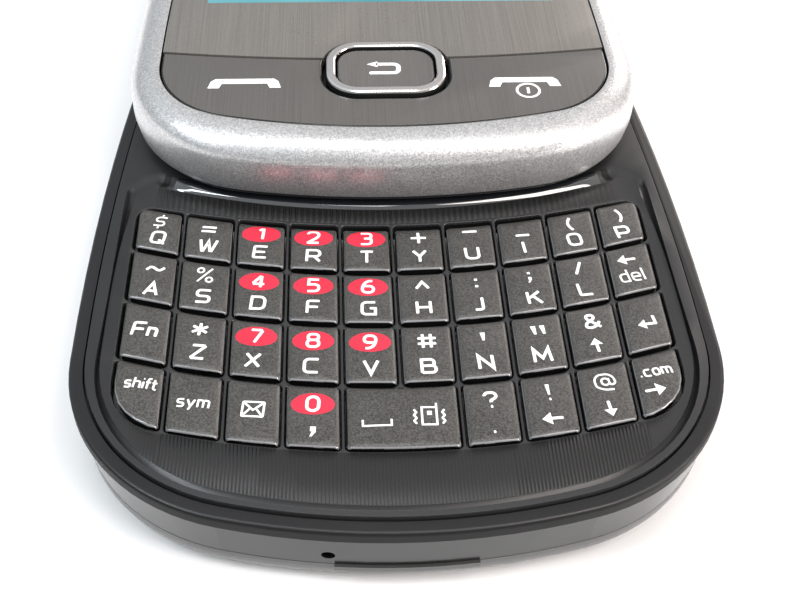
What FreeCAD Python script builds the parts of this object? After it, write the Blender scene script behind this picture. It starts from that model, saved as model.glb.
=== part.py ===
import FreeCAD, Part
import math
import os
import Sketcher

# Portrait slider phone: a base with a curved-row keyboard and a screen half that slides along it.
# Millimetres. X to the right, Y from the bottom end to the top end, Z up, lying on its back.
# Every piece is modelled with Y = 0 at the base's bottom end, and its Placement moves it to the
# middle of the opened phone.

Vector = FreeCAD.Vector
os.makedirs("parts", exist_ok=True)
doc = FreeCAD.newDocument("slider_phone")

# ---------------------------------------------------------------- driving dimensions
driving = [
    # base plan
    ("baseLength", 100.0, "bottom end to top end"),
    ("baseWidth", 55.9, "at the widest point"),
    ("baseBulgeY", 24.5, "widest point from the bottom end"),
    ("baseEndRadius", 59.0, "both ends"),
    ("baseCornerRadius", 17.5, "bottom corners"),
    ("baseSideRadius", 318.0, "bulge of the long sides"),
    ("baseTopNarrowing", 2.75, "straight upper part inside the widest points, each side"),
    ("baseTopCornerRadius", 16.0, "top corners"),
    ("baseStraightFromTop", 19.675, "top end to where the sides turn straight"),
    # slide plan
    ("slideTravel", 36.0, "closed to open"),
    ("slideEndInset", 0.9, "closed slide behind the base's ends"),
    ("slideSideInset", 2.45, "slide inside the base, both at their widest, each side"),
    ("slideBulgeY", 15.0, "widest point from the slide's bottom end"),
    ("slideEndRadius", 74.0, "both ends"),
    ("slideCornerRadius", 14.0, "all four corners"),
    ("slideSideRadius", 300.0, "bulge of the long sides"),
    ("slideTopNarrowing", 1.8, "straight upper part inside the widest points, each side"),
    ("slideWaistRadius", 250.0, "hollow between the slide's bulge and its straight part"),
    # base heights
    ("deckHeight", 8.0, "rest face to keyboard deck"),
    ("bandRise", 0.3, "smooth band and slide floor above the deck"),
    ("bezelThickness", 0.8, "deck plate"),
    ("bezelGap", 0.2, "deck plate to the outer rim"),
    ("rimWidth", 1.2, "outer rim seen from above"),
    ("rimHeight", 1.1, "outer rim seen from the side"),
    ("rimDrop", 0.05, "outer rim below the deck"),
    ("rimEdge", 0.36, "rounding of the outer rim"),
    ("ledgeThickness", 0.8, "front case plate under the bezel"),
    ("seamHeight", 2.9, "rear case's lower edge above the rest face"),
    ("coverSeam", 0.08, "rear case to the battery cover"),
    ("coverTravel", 3.0, "battery cover slides this far before it lifts off"),
    ("coverGap", 0.12, "battery cover to what lies in it"),
    ("partingInset", 0.1, "rear case behind the rim above it"),
    ("caseWall", 1.3, "rear case wall"),
    ("caseTaper", 0.65, "how far the rear case draws in towards the back"),
    ("coverWall", 0.9, "battery cover"),
    ("coverRound", 2.4, "rounding under the battery cover"),
    ("tubWall", 0.8, "floor and walls of the rear case inside the cover"),
    ("seatThickness", 0.8, "step between the rear case's two walls"),
    # slide heights
    ("slideGap", 0.8, "deck to the slide's back"),
    ("slideThickness", 6.5, "slide's back to the top of the silver frame"),
    ("backFlange", 0.6, "dark lower edge of the slide's back"),
    ("backInset", 0.5, "dark lower edge inside the silver frame"),
    ("backEdge", 0.36, "rounding of the slide's back"),
    ("backFloor", 1.8, "slide back, whole thickness"),
    ("frameWall", 1.5, "silver frame side wall"),
    ("frameDraft", 0.25, "silver frame drawn in at its lower edge"),
    ("frameDraftHeight", 1.4, "height of that draft"),
    ("pillowHeight", 2.34, "height of the frame's rounded top"),
    ("windowThickness", 1.0, "front window and key plate"),
    ("windowSink", 0.1, "window below the frame's top edge"),
    ("windowLedge", 0.8, "frame's ledge under the window"),
    ("displayRib", 2.0, "rib under the display's edge"),
    ("displayGap", 0.05, "display to the window"),
    ("frameBandSide", 3.15, "silver band beside the window"),
    ("frameBandEnd", 3.5, "silver band below the window"),
    ("windowEndRadius", 64.0, "window ends"),
    ("windowCornerRadius", 8.6, "window corners"),
    ("plateTop", 14.85, "slide's bottom end to the groove above the key plate"),
    ("grooveRadius", 168.0, "radius of the groove above the key plate"),
    ("panelGap", 0.15, "seam between window, key plate and frame"),
    # keyboard
    ("keySideMargin", 4.3, "base's widest points to the key block"),
    ("outerKeyTrim", 0.65, "outer columns narrower than the others"),
    ("keyboardY", 7.7, "bottom end to the lowest key edge"),
    ("rowHeightLower", 6.91, "two lower rows"),
    ("rowHeightSecond", 6.55, "second row"),
    ("rowHeightTop", 6.02, "top row"),
    ("rowRadius", 75.0, "curve of every row"),
    ("keyGap", 0.7, "between key caps"),
    ("keyClearance", 0.15, "key cap to its opening"),
    ("keyRise", 0.45, "key tops above the deck"),
    ("keyTravel", 0.35, "press"),
    ("keyFlange", 0.22, "hidden flange around each cap"),
    ("flangeThickness", 0.4, "hidden flange"),
    ("flangeClearance", 0.1, "flange to the bezel above it"),
    ("keyEdge", 0.22, "rounded top edge"),
    ("keySmallCorner", 1.6, "outer top corners of the block"),
    ("keyLargeCorner", 5.5, "outer bottom corners of the block"),
    ("keymatThickness", 0.4, "rubber sheet"),
    ("boardThickness", 0.6, "circuit board"),
    ("ridgeInset", 2.4, "smooth band, outer edge to the deck"),
    ("lipRadius", 66.0, "curved step above the keyboard"),
    ("lipGap", 2.9, "top row's upper edge to the step"),
    ("keyMargin", 1.0, "circuit board beyond the key block"),
    ("keymatMargin", 0.5, "rubber sheet beyond the key block"),
    # runner and channel
    ("railSpacing", 26.0, "between the two rails"),
    ("railBottomY", 50.0, "bottom end to the rails"),
    ("railStem", 1.2, "rail stem width"),
    ("railHead", 3.4, "rail head width"),
    ("railHeadHeight", 0.5, "rail head"),
    ("railClearance", 0.08, "running clearance of the rails"),
    ("channelThickness", 0.5, "steel channel plate"),
    ("runnerThickness", 0.6, "steel runner plate"),
    ("runnerWidth", 34.0, "steel runner plate"),
    ("channelWidth", 36.0, "steel channel plate"),
    ("railTopMargin", 8.0, "base's top end to the rails"),
    ("railSpare", 0.5, "slots beyond the rails at each end of the travel"),
    ("runnerMargin", 3.0, "runner plate beyond the rails"),
    ("channelMargin", 2.5, "channel plate beyond the rails' travel"),
    ("plateClearance", 0.05, "channel plate in its recess"),
    # slide front
    ("ringWidth", 11.9, "bright ring, across"),
    ("ringHeight", 8.75, "bright ring, along"),
    ("ringCorner", 3.3, "bright ring corners"),
    ("ringBand", 0.95, "bright ring band"),
    ("ringRise", 0.4, "bright ring above the window"),
    ("ringY", 13.0, "slide's bottom end to the ring's centre"),
    ("ringGap", 0.35, "key plate to the ring"),
    ("backKeyGap", 0.2, "ring to the key inside it"),
    ("backKeyTravel", 0.3, "press"),
    ("backKeyRise", 0.1, "key above the window"),
    ("backKeyEdge", 0.25, "rounding of the key inside the ring"),
    ("rockerFloorGap", 0.7, "room under the key plate"),
    ("keyDeckReach", 3.0, "deck under the key plate beyond its groove"),
    ("screenSideMargin", 2.25, "window's straight sides to the lit area"),
    ("screenTopMargin", 24.1, "lit area to the slide's top end"),
    ("screenY", 25.3, "slide's bottom end to the lit area"),
    ("panelMargin", 1.3, "display module around its lit area"),
    ("displayThickness", 1.9, "display module"),
    ("earpieceWidth", 12.0, "earpiece"),
    ("earpieceLength", 5.5, "earpiece"),
    ("earpieceCorner", 2.0, "earpiece"),
    ("earpieceThickness", 2.4, "earpiece"),
    ("earpieceY", 9.0, "slide's top end to the earpiece's middle"),
    ("earSlotWidth", 9.0, "sound slot in the window"),
    ("earSlotHeight", 1.3, "sound slot in the window"),
    # side keys, battery, camera, screws
    ("volumeLength", 15.0, "volume rocker"),
    ("volumeFromTop", 30.0, "base's top end to the rocker's middle"),
    ("cameraKeyLength", 8.0, "camera key"),
    ("cameraKeyFromTop", 38.0, "base's top end to the camera key's middle"),
    ("sideKeyHeight", 1.9, "side keys, seen from the side"),
    ("sideKeyRise", 0.55, "side keys proud of the case"),
    ("sideKeyClearance", 0.15, "side keys to their openings"),
    ("sideKeyCorner", 0.6, "side keys' corners"),
    ("sideKeyEdge", 0.3, "side keys' outer edges"),
    ("sideKeyReach", 0.2, "side keys inside the case wall"),
    ("sideKeyZ", 4.9, "rest face to the side keys' middle"),
    ("batterySideMargin", 7.2, "upper part's straight sides to the battery"),
    ("batteryTopMargin", 16.5, "battery to the base's top end"),
    ("batteryThickness", 4.2, "battery"),
    ("batteryY", 38.5, "bottom end to the battery"),
    ("batteryClearance", 0.25, "battery to its bay"),
    ("bayWall", 0.6, "walls and ceiling of the battery bay"),
    ("shelfWidth", 0.8, "wall that carries the circuit board's edge"),
    ("cameraFromTop", 10.5, "base's top end to the camera"),
    ("cameraBarrel", 6.4, "camera barrel diameter"),
    ("cameraBody", 7.6, "camera body"),
    ("cameraHole", 8.4, "hole in the battery cover"),
    ("speakerHole", 1.1, "sound holes in the battery cover"),
    ("speakerPitch", 2.2, "sound holes"),
    ("speakerX", 9.5, "first sound hole from the middle"),
    ("tabWidth", 11.5, "thumb tab at the battery cover's bottom end"),
    ("tabHeight", 0.5, "thumb tab"),
    ("tabRise", 0.25, "thumb tab proud of the cover"),
    ("screwShank", 1.3, "case screws"),
    ("screwHead", 2.4, "case screws"),
    ("screwHeadHeight", 0.7, "case screws"),
    ("screwClearance", 0.1, "screws to their holes"),
    ("screwSeat", 2.5, "rest face to the screw heads' seat"),
    ("bossDiameter", 3.8, "case screw bosses"),
    ("lowerScrewInset", 6.5, "outline to the lowest case screws, across"),
    ("lowerScrewY", 6.0, "bottom end to the lowest screws"),
    ("middleScrewInset", 6.0, "outline to the case screws above the keyboard, across"),
    ("middleScrewY", 41.0, "bottom end to the middle screws"),
    ("upperScrewInset", 10.0, "outline to the upper case screws, across"),
    ("upperScrewFromTop", 10.0, "base's top end to the upper screws"),
    ("micDiameter", 1.1, "microphone hole"),
    ("micOffset", 6.2, "microphone hole left of the middle"),
    ("micZ", 4.3, "rest face to the microphone hole"),
    ("portWidth", 8.6, "charging socket"),
    ("portHeight", 2.4, "charging socket"),
    ("portCorner", 0.8, "charging socket corners"),
    ("portFromTop", 49.0, "base's top end to the charging socket"),
    ("portZ", 4.6, "rest face to the charging socket's middle"),
    ("portDepth", 3.6, "charging socket"),
    ("portWall", 0.4, "walls of the charging socket"),
]

sheet = doc.addObject("Spreadsheet::Sheet", "Dims")
for line, (alias, value, note) in enumerate(driving, start=1):
    sheet.set("A%d" % line, alias)
    sheet.set("B%d" % line, str(value))
    sheet.set("C%d" % line, note)
    sheet.setAlias("B%d" % line, alias)
doc.recompute()


def size(alias):
    return float(getattr(sheet, alias))


# ---------------------------------------------------------------- levels, lowest to highest
rimTop = size("deckHeight") - size("rimDrop")
rimBottom = rimTop - size("rimHeight")
bezelBottom = size("deckHeight") - size("bezelThickness")
bandTop = size("deckHeight") + size("bandRise")
ledgeBottom = bezelBottom - size("ledgeThickness")
flangeBottom = bezelBottom - size("flangeClearance") - size("flangeThickness")
keymatTop = flangeBottom - size("keyTravel") - size("flangeClearance")
boardTop = keymatTop - size("keymatThickness")
boardBottom = boardTop - size("boardThickness")
caseInside = size("caseWall") + size("caseTaper")
keyInset = caseInside + size("keyMargin")
tubBottom = size("coverWall") + size("coverGap")
tubTop = size("seamHeight") + size("seatThickness")
tubInset = size("caseTaper") + size("coverWall") + size("coverGap")
bayCeiling = tubBottom + size("batteryThickness") + size("coverGap")
slideBottom = size("deckHeight") + size("slideGap")
channelTop = slideBottom + size("channelThickness")
slideTop = slideBottom + size("slideThickness")
frameBottom = slideBottom + size("backFlange")
windowTop = slideTop - size("windowSink")
windowBottom = windowTop - size("windowThickness")
backTop = slideBottom + size("backFloor")
topHalf = size("baseWidth") / 2 - size("baseTopNarrowing")
# radius of the base's hollow side, which touches the bulge's arc and the straight part
hollowReach = size("baseSideRadius") - size("baseTopNarrowing")
hollowRise = size("baseLength") - size("baseStraightFromTop") - size("baseBulgeY")
baseWaistRadius = ((hollowReach ** 2 + hollowRise ** 2 - size("baseSideRadius") ** 2)
                   / (2 * size("baseTopNarrowing")))
slideHalf = size("baseWidth") / 2 - size("slideSideInset")
slideTopHalf = slideHalf - size("slideTopNarrowing")
openY = size("slideEndInset") + size("slideTravel")
slideLength = size("baseLength") - 2 * size("slideEndInset")
plateEdgeY = openY + size("plateTop")
ringCentreY = openY + size("ringY")
screenHalf = slideTopHalf - size("frameBandSide") - size("screenSideMargin")
screenBottomY = openY + size("screenY")
screenTopY = openY + slideLength - size("screenTopMargin")
volumeY = size("baseLength") - size("volumeFromTop")
cameraKeyY = size("baseLength") - size("cameraKeyFromTop")
cameraY = size("baseLength") - size("cameraFromTop")
portY = size("baseLength") - size("portFromTop")
batteryHalf = topHalf - size("batterySideMargin")
batteryTopY = size("baseLength") - size("batteryTopMargin")
displayTop = windowBottom - size("displayGap")
deckTop = windowBottom - size("rockerFloorGap")
earpieceCentreY = openY + slideLength - size("earpieceY")
railX = size("railSpacing") / 2
railTop = size("baseLength") - size("railTopMargin")
railBottom = size("railBottomY")
railEnd = railTop + size("slideTravel")
beyond = 1.0  # how far a cutting solid reaches past what it cuts
tiny = 1e-4
nearlyFlat = 1e-3  # an upright edge is no wider than this
soundHoles = 3  # on each side of the camera
pillowSteps = 5  # facets of the silver frame's rounded top

rowEdges = [0.0, size("rowHeightLower"), 2 * size("rowHeightLower")]
rowEdges.append(rowEdges[2] + size("rowHeightSecond"))
rowEdges.append(rowEdges[3] + size("rowHeightTop"))
lipY = size("keyboardY") + rowEdges[-1] + size("lipGap")
rowExpressions = ["0", "Dims.rowHeightLower", "2 * Dims.rowHeightLower",
                  "2 * Dims.rowHeightLower + Dims.rowHeightSecond",
                  "2 * Dims.rowHeightLower + Dims.rowHeightSecond + Dims.rowHeightTop"]
columns = 10
halfColumns = columns // 2
keyHalf = size("baseWidth") / 2 - size("keySideMargin")
keyPitch = (keyHalf + size("outerKeyTrim")) / halfColumns
keyHalfExpression = "(Dims.baseWidth / 2 - Dims.keySideMargin)"
keyPitchExpression = "(%s + Dims.outerKeyTrim) / %d" % (keyHalfExpression, halfColumns)


# ---------------------------------------------------------------- outlines
def baseOutline(inset=0.0):
    return {"end": inset, "top": size("baseLength") - inset,
            "half": size("baseWidth") / 2 - inset, "bulge": size("baseBulgeY"),
            "endR": size("baseEndRadius") - inset, "cornerR": size("baseCornerRadius") - inset,
            "sideR": size("baseSideRadius") - inset, "topHalf": topHalf - inset,
            "waistR": baseWaistRadius + inset,
            "topCornerR": size("baseTopCornerRadius") - inset}


def slideOutline(inset=0.0):
    return {"end": openY + inset, "top": openY + slideLength - inset,
            "half": slideHalf - inset, "bulge": openY + size("slideBulgeY"),
            "endR": size("slideEndRadius") - inset, "cornerR": size("slideCornerRadius") - inset,
            "sideR": size("slideSideRadius") - inset, "topHalf": slideTopHalf - inset,
            "waistR": size("slideWaistRadius") + inset,
            "topCornerR": size("slideCornerRadius") - inset}


def windowOutline(inset=0.0):
    side = size("frameBandSide") + inset
    plan = slideOutline(side)
    plan["end"] = openY + size("frameBandEnd") + inset
    plan["top"] = openY + slideLength - size("frameBandEnd") - inset
    plan["endR"] = size("windowEndRadius") - inset
    plan["cornerR"] = size("windowCornerRadius") - inset
    plan["topCornerR"] = size("windowCornerRadius") - inset
    return plan


def innerTangentCentre(centreA, radiusA, centreB, radiusB, radius, upper):
    # centre of the arc of this radius that touches circles A and B from inside
    reachA = radiusA - radius
    reachB = radiusB - radius
    line = centreB - centreA
    span = line.Length
    along = (reachA ** 2 - reachB ** 2 + span ** 2) / (2 * span)
    across = math.sqrt(reachA ** 2 - along ** 2)
    unit = line.normalize()
    side = Vector(unit.y, -unit.x, 0)
    picks = [centreA + unit * along + side * across, centreA + unit * along - side * across]
    picks.sort(key=lambda point: point.y)
    return picks[1] if upper else picks[0]


def arcEdge(centre, start, finish, height):
    radius = (start - centre).Length
    middle = (start - centre).normalize() + (finish - centre).normalize()
    through = centre + middle.normalize() * radius
    lift = Vector(0, 0, height)
    return Part.Arc(start + lift, through + lift, finish + lift).toShape()


def mirrored(point):
    return Vector(-point.x, point.y, point.z)


def outlineWire(plan, height=0.0):
    endCentre = Vector(0, plan["end"] + plan["endR"], 0)
    sideCentre = Vector(plan["half"] - plan["sideR"], plan["bulge"], 0)
    cornerCentre = innerTangentCentre(endCentre, plan["endR"], sideCentre, plan["sideR"],
                                      plan["cornerR"], False)
    waistX = plan["topHalf"] + plan["waistR"]
    reach = plan["sideR"] + plan["waistR"]
    waistY = plan["bulge"] + math.sqrt(reach ** 2 - (waistX - sideCentre.x) ** 2)
    waistCentre = Vector(waistX, waistY, 0)
    topCentre = Vector(0, plan["top"] - plan["endR"], 0)
    topCornerX = plan["topHalf"] - plan["topCornerR"]
    topReach = plan["endR"] - plan["topCornerR"]
    topCornerY = topCentre.y + math.sqrt(topReach ** 2 - topCornerX ** 2)
    topCornerCentre = Vector(topCornerX, topCornerY, 0)

    endToCorner = endCentre + (cornerCentre - endCentre).normalize() * plan["endR"]
    cornerToSide = sideCentre + (cornerCentre - sideCentre).normalize() * plan["sideR"]
    sideToWaist = sideCentre + (waistCentre - sideCentre).normalize() * plan["sideR"]
    waistToLine = Vector(plan["topHalf"], waistY, 0)
    lineToCorner = Vector(plan["topHalf"], topCornerY, 0)
    cornerToTop = topCentre + (topCornerCentre - topCentre).normalize() * plan["endR"]

    lift = Vector(0, 0, height)
    right = [arcEdge(cornerCentre, endToCorner, cornerToSide, height),
             arcEdge(sideCentre, cornerToSide, sideToWaist, height),
             arcEdge(waistCentre, sideToWaist, waistToLine, height),
             Part.LineSegment(waistToLine + lift, lineToCorner + lift).toShape(),
             arcEdge(topCornerCentre, lineToCorner, cornerToTop, height)]
    top = arcEdge(topCentre, cornerToTop, mirrored(cornerToTop), height)
    left = [arcEdge(mirrored(topCornerCentre), mirrored(cornerToTop), mirrored(lineToCorner), height),
            Part.LineSegment(mirrored(lineToCorner) + lift, mirrored(waistToLine) + lift).toShape(),
            arcEdge(mirrored(waistCentre), mirrored(waistToLine), mirrored(sideToWaist), height),
            arcEdge(mirrored(sideCentre), mirrored(sideToWaist), mirrored(cornerToSide), height),
            arcEdge(mirrored(cornerCentre), mirrored(cornerToSide), mirrored(endToCorner), height)]
    bottom = arcEdge(endCentre, mirrored(endToCorner), endToCorner, height)
    return Part.Wire([bottom] + right + [top] + left)


def slab(plan, low, high):
    return Part.Face(outlineWire(plan, low)).extrude(Vector(0, 0, high - low))


def halfWidthAt(plan, y):
    # half the outline's width at this Y
    strip = Part.LineSegment(Vector(0, y, 0), Vector(plan["half"] + beyond, y, 0)).toShape()
    inside = Part.Face(outlineWire(plan)).common(strip)
    return inside.BoundBox.XMax


def loftSolid(levels, outline):
    # ruled solid through the outline at several (height, inset) levels
    return Part.makeLoft([outlineWire(outline(inset), z) for z, inset in levels], True, True)


def block(x0, x1, y0, y1, z0, z1):
    return Part.makeBox(x1 - x0, y1 - y0, z1 - z0, Vector(x0, y0, z0))


def acrossBlock(y0, y1, z0, z1):
    # wider than the phone
    return block(-size("baseWidth"), size("baseWidth"), y0, y1, z0, z1)


def belowGroove(shift):
    # all below the curved groove, its edge moved up by this much
    radius = size("grooveRadius") - shift
    drum = Part.makeCylinder(radius, windowTop + 2 * beyond, Vector(0, plateEdgeY + radius + shift, -beyond))
    high = plateEdgeY + size("keyDeckReach")
    return acrossBlock(openY - beyond, high, 0, windowTop + beyond).cut(drum)


def cylinder(x, y, z0, z1, diameter):
    return Part.makeCylinder(diameter / 2, z1 - z0, Vector(x, y, z0))


def roundedBlock(width, length, corner, x, y, z0, z1):
    solid = block(x - width / 2, x + width / 2, y - length / 2, y + length / 2, z0, z1)
    return solid.makeFillet(corner, [edge for edge in solid.Edges if edge.BoundBox.ZLength > tiny])


def edgesAt(shape, height):
    return [edge for edge in shape.Edges
            if abs(edge.BoundBox.ZMin - height) < tiny and abs(edge.BoundBox.ZMax - height) < tiny]


# ---------------------------------------------------------------- pieces and their place
pieces = []
originExpression = "-(Dims.baseLength - Dims.slideEndInset + Dims.slideTravel) / 2"


def place(piece):
    # moves a finished piece from the base's bottom end to the middle of the opened phone
    piece.setExpression("Placement.Base.y", originExpression)
    pieces.append(piece)
    return piece


def piece(name, shape):
    feature = doc.addObject("Part::Feature", name)
    feature.Label = name
    feature.Shape = shape.removeSplitter()
    return place(feature)


# ---------------------------------------------------------------- keyboard plan
# name, first column, last column, for each row from the lowest
keyRows = [
    [("shift", 0, 0), ("sym", 1, 1), ("mail", 2, 2), ("comma", 3, 3), ("space", 4, 5),
     ("period", 6, 6), ("left", 7, 7), ("down", 8, 8), ("right", 9, 9)],
    [("fn", 0, 0), ("z", 1, 1), ("x", 2, 2), ("c", 3, 3), ("v", 4, 4),
     ("b", 5, 5), ("n", 6, 6), ("m", 7, 7), ("up", 8, 8), ("enter", 9, 9)],
    [("a", 0, 0), ("s", 1, 1), ("d", 2, 2), ("f", 3, 3), ("g", 4, 4),
     ("h", 5, 5), ("j", 6, 6), ("k", 7, 7), ("l", 8, 8), ("delete", 9, 9)],
    [("q", 0, 0), ("w", 1, 1), ("e", 2, 2), ("r", 3, 3), ("t", 4, 4),
     ("y", 5, 5), ("u", 6, 6), ("i", 7, 7), ("o", 8, 8), ("p", 9, 9)],
]


def columnX(boundary):
    # X of a column boundary, 0 at the left edge of the block and 10 at the right
    if boundary == 0:
        return -keyHalf
    if boundary == columns:
        return keyHalf
    return (boundary - halfColumns) * keyPitch


def rowPoint(x, edge, shift):
    # point of a curved row edge, shifted along Y
    sag = size("rowRadius") - math.sqrt(size("rowRadius") ** 2 - x ** 2)
    return Vector(x, size("keyboardY") + edge + shift + sag, 0)


def largeCornerCentre(outward):
    # centre of the round outer bottom corner, which takes up a whole key
    x = keyHalf - size("keyLargeCorner")
    low = rowPoint(x, 0, size("keyGap") / 2)
    return Vector(outward * x, low.y + size("keyLargeCorner"), 0)


def keySides(first, last, grow):
    halfGap = size("keyGap") / 2
    left = columnX(first) + (halfGap if first > 0 else 0) - grow
    right = columnX(last + 1) - (halfGap if last + 1 < columns else 0) + grow
    return left, right


def cornerSize(first, last, row):
    # the block's own corners are rounded on its outermost keys
    if 0 < first and last < columns - 1:
        return None
    if row == 0:
        return "keyLargeCorner"
    if row == len(keyRows) - 1:
        return "keySmallCorner"
    return None


def keyWire(first, last, row, grow, height):
    # outline of a key over columns first..last of a row, grown by grow on every side
    left, right = keySides(first, last, grow)
    halfGap = size("keyGap") / 2
    middle = (left + right) / 2
    lowPoints = [rowPoint(x, rowEdges[row], halfGap - grow) for x in (left, middle, right)]
    highPoints = [rowPoint(x, rowEdges[row + 1], grow - halfGap) for x in (right, middle, left)]
    if cornerSize(first, last, row) == "keyLargeCorner":
        centre = largeCornerCentre(-1 if first == 0 else 1)
        radius = size("keyLargeCorner") + grow
        for index, x in enumerate((left, middle, right)):
            drop = math.sqrt(max(radius ** 2 - (x - centre.x) ** 2, 0))
            lowPoints[index] = Vector(x, centre.y - drop, 0)
    lift = Vector(0, 0, height)
    edges = [Part.Arc(*[point + lift for point in lowPoints]).toShape(),
             Part.LineSegment(lowPoints[2] + lift, highPoints[0] + lift).toShape(),
             Part.Arc(*[point + lift for point in highPoints]).toShape(),
             Part.LineSegment(highPoints[2] + lift, lowPoints[0] + lift).toShape()]
    return Part.Wire(edges)


# ---------------------------------------------------------------- key caps
def addSketch(body, name, heightExpression):
    sketch = body.newObject("Sketcher::SketchObject", name)
    plane = [feature for feature in body.Origin.OriginFeatures if feature.Role == "XY_Plane"][0]
    sketch.AttachmentSupport = [(plane, "")]
    sketch.MapMode = "FlatFace"
    sketch.setExpression("AttachmentOffset.Base.z", heightExpression)
    return sketch


def boundaryExpression(boundary, gapSign):
    if boundary == 0:
        return "-" + keyHalfExpression
    if boundary == columns:
        return keyHalfExpression
    return "%d * %s %s Dims.keyGap / 2" % (boundary - halfColumns, keyPitchExpression, gapSign)


def lowArc(first, last, row, growExpression, grow):
    # centre and radius of a key's lower edge, as numbers and as expressions
    if cornerSize(first, last, row) == "keyLargeCorner":
        outward = -1 if first == 0 else 1
        centre = largeCornerCentre(outward)
        reach = "(%s - Dims.keyLargeCorner)" % keyHalfExpression
        centreY = ("Dims.keyboardY + Dims.keyGap / 2 + Dims.keyLargeCorner + Dims.rowRadius"
                   " - sqrt(Dims.rowRadius ^ 2 - %s ^ 2)" % reach)
        return (centre, size("keyLargeCorner") + grow, "%d * %s" % (outward, reach), centreY,
                "Dims.keyLargeCorner + " + growExpression)
    centreY = size("keyboardY") + rowEdges[row] + size("keyGap") / 2 - grow + size("rowRadius")
    expression = ("Dims.keyboardY + %s + Dims.keyGap / 2 - %s + Dims.rowRadius"
                  % (rowExpressions[row], growExpression))
    return Vector(0, centreY, 0), size("rowRadius"), None, expression, "Dims.rowRadius"


def drawKey(sketch, first, last, row, growExpression, grow):
    # a lower and an upper arc joined by two upright lines
    left, right = keySides(first, last, grow)
    lowCentre, lowRadius, lowXExpression, lowYExpression, lowRadiusExpression = lowArc(
        first, last, row, growExpression, grow)
    radius = size("rowRadius")
    highCentre = Vector(0, size("keyboardY") + rowEdges[row + 1] - size("keyGap") / 2 + grow + radius, 0)

    def turn(x, centre, arcRadius):
        return -math.acos(max(-1.0, min(1.0, (x - centre.x) / arcRadius)))

    def onArc(x, centre, arcRadius):
        drop = math.sqrt(max(arcRadius ** 2 - (x - centre.x) ** 2, 0))
        return Vector(x, centre.y - drop, 0)

    up = Vector(0, 0, 1)
    sketch.addGeometry([
        Part.ArcOfCircle(Part.Circle(lowCentre, up, lowRadius),
                         turn(left, lowCentre, lowRadius), turn(right, lowCentre, lowRadius)),
        Part.LineSegment(onArc(right, lowCentre, lowRadius), onArc(right, highCentre, radius)),
        Part.ArcOfCircle(Part.Circle(highCentre, up, radius),
                         turn(left, highCentre, radius), turn(right, highCentre, radius)),
        Part.LineSegment(onArc(left, lowCentre, lowRadius), onArc(left, highCentre, radius)),
    ], False)
    joins = [("Coincident", 0, 2, 1, 1), ("Coincident", 1, 2, 2, 2),
             ("Coincident", 2, 1, 3, 2), ("Coincident", 3, 1, 0, 1),
             ("Vertical", 1), ("Vertical", 3), ("PointOnObject", 2, 3, -2)]
    drives = [
        (("Radius", 0, lowRadius), lowRadiusExpression),
        (("Radius", 2, radius), "Dims.rowRadius"),
        (("DistanceY", -1, 1, 0, 3, lowCentre.y), lowYExpression),
        (("DistanceY", -1, 1, 2, 3, highCentre.y),
         "Dims.keyboardY + %s - Dims.keyGap / 2 + %s + Dims.rowRadius"
         % (rowExpressions[row + 1], growExpression)),
    ]
    sides = [(("DistanceX", -1, 1, 3, 1, left),
              "%s - %s" % (boundaryExpression(first, "+"), growExpression)),
             (("DistanceX", -1, 1, 1, 1, right),
              "%s + %s" % (boundaryExpression(last + 1, "-"), growExpression))]
    if lowXExpression:
        drives.append((("DistanceX", -1, 1, 0, 3, lowCentre.x), lowXExpression))
        outer = 3 if first == 0 else 1
        joins.append(("Tangent", 0, 1 if first == 0 else 2, outer, 1))
        joins.remove(("Coincident", 3, 1, 0, 1) if first == 0 else ("Coincident", 0, 2, 1, 1))
        joins.remove(("Vertical", outer))
        sides.pop(0 if first == 0 else 1)
    else:
        joins.append(("PointOnObject", 0, 3, -2))
    for join in joins:
        sketch.addConstraint(Sketcher.Constraint(*join))
    for constraint, expression in drives + sides:
        index = sketch.addConstraint(Sketcher.Constraint(*constraint))
        sketch.setExpression("Constraints[%d]" % index, expression)


def addPad(body, sketch, lengthExpression):
    pad = body.newObject("PartDesign::Pad", sketch.Name + "_pad")
    pad.Profile = sketch
    pad.setExpression("Length", lengthExpression)
    doc.recompute()
    return pad


flangeLevel = "Dims.deckHeight - Dims.bezelThickness - Dims.flangeClearance - Dims.flangeThickness"
capHeight = "Dims.bezelThickness + Dims.flangeClearance + Dims.flangeThickness + Dims.keyRise"


def outerCorner(shape, outward):
    # upright edges of the flange and the cap at the block's upper corner
    found = []
    for index, edge in enumerate(shape.Edges, start=1):
        box = edge.BoundBox
        middle = shape.BoundBox.Center
        isUpright = box.ZLength > tiny and box.XLength < nearlyFlat and box.YLength < nearlyFlat
        isOuter = (box.Center.x - middle.x) * outward > 0
        isUpper = box.Center.y > middle.y
        if isUpright and isOuter and isUpper:
            found.append(index)
    return found


def addFillet(body, name, edgeNumbers, radiusExpression):
    base = body.Tip
    fillet = body.newObject("PartDesign::Fillet", name)
    fillet.Base = (base, ["Edge%d" % number for number in edgeNumbers])
    fillet.setExpression("Radius", radiusExpression)
    doc.recompute()
    return fillet


def keyCap(name, first, last, row):
    body = doc.addObject("PartDesign::Body", name)
    body.Label = name
    flange = addSketch(body, name + "_flange", flangeLevel)
    drawKey(flange, first, last, row, "Dims.keyFlange", size("keyFlange"))
    addPad(body, flange, "Dims.flangeThickness")
    cap = addSketch(body, name + "_cap", flangeLevel)
    drawKey(cap, first, last, row, "0", 0.0)
    addPad(body, cap, capHeight)
    if cornerSize(first, last, row) == "keySmallCorner":
        upright = outerCorner(body.Tip.Shape, -1 if first == 0 else 1)
        addFillet(body, name + "_corner", upright, "Dims.keySmallCorner")
    top = max(face.BoundBox.ZMax for face in body.Tip.Shape.Faces)
    rim = [index for index, edge in enumerate(body.Tip.Shape.Edges, start=1)
           if edge.BoundBox.ZMin > top - tiny]
    addFillet(body, name + "_edge", rim, "Dims.keyEdge")
    return place(body)


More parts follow.
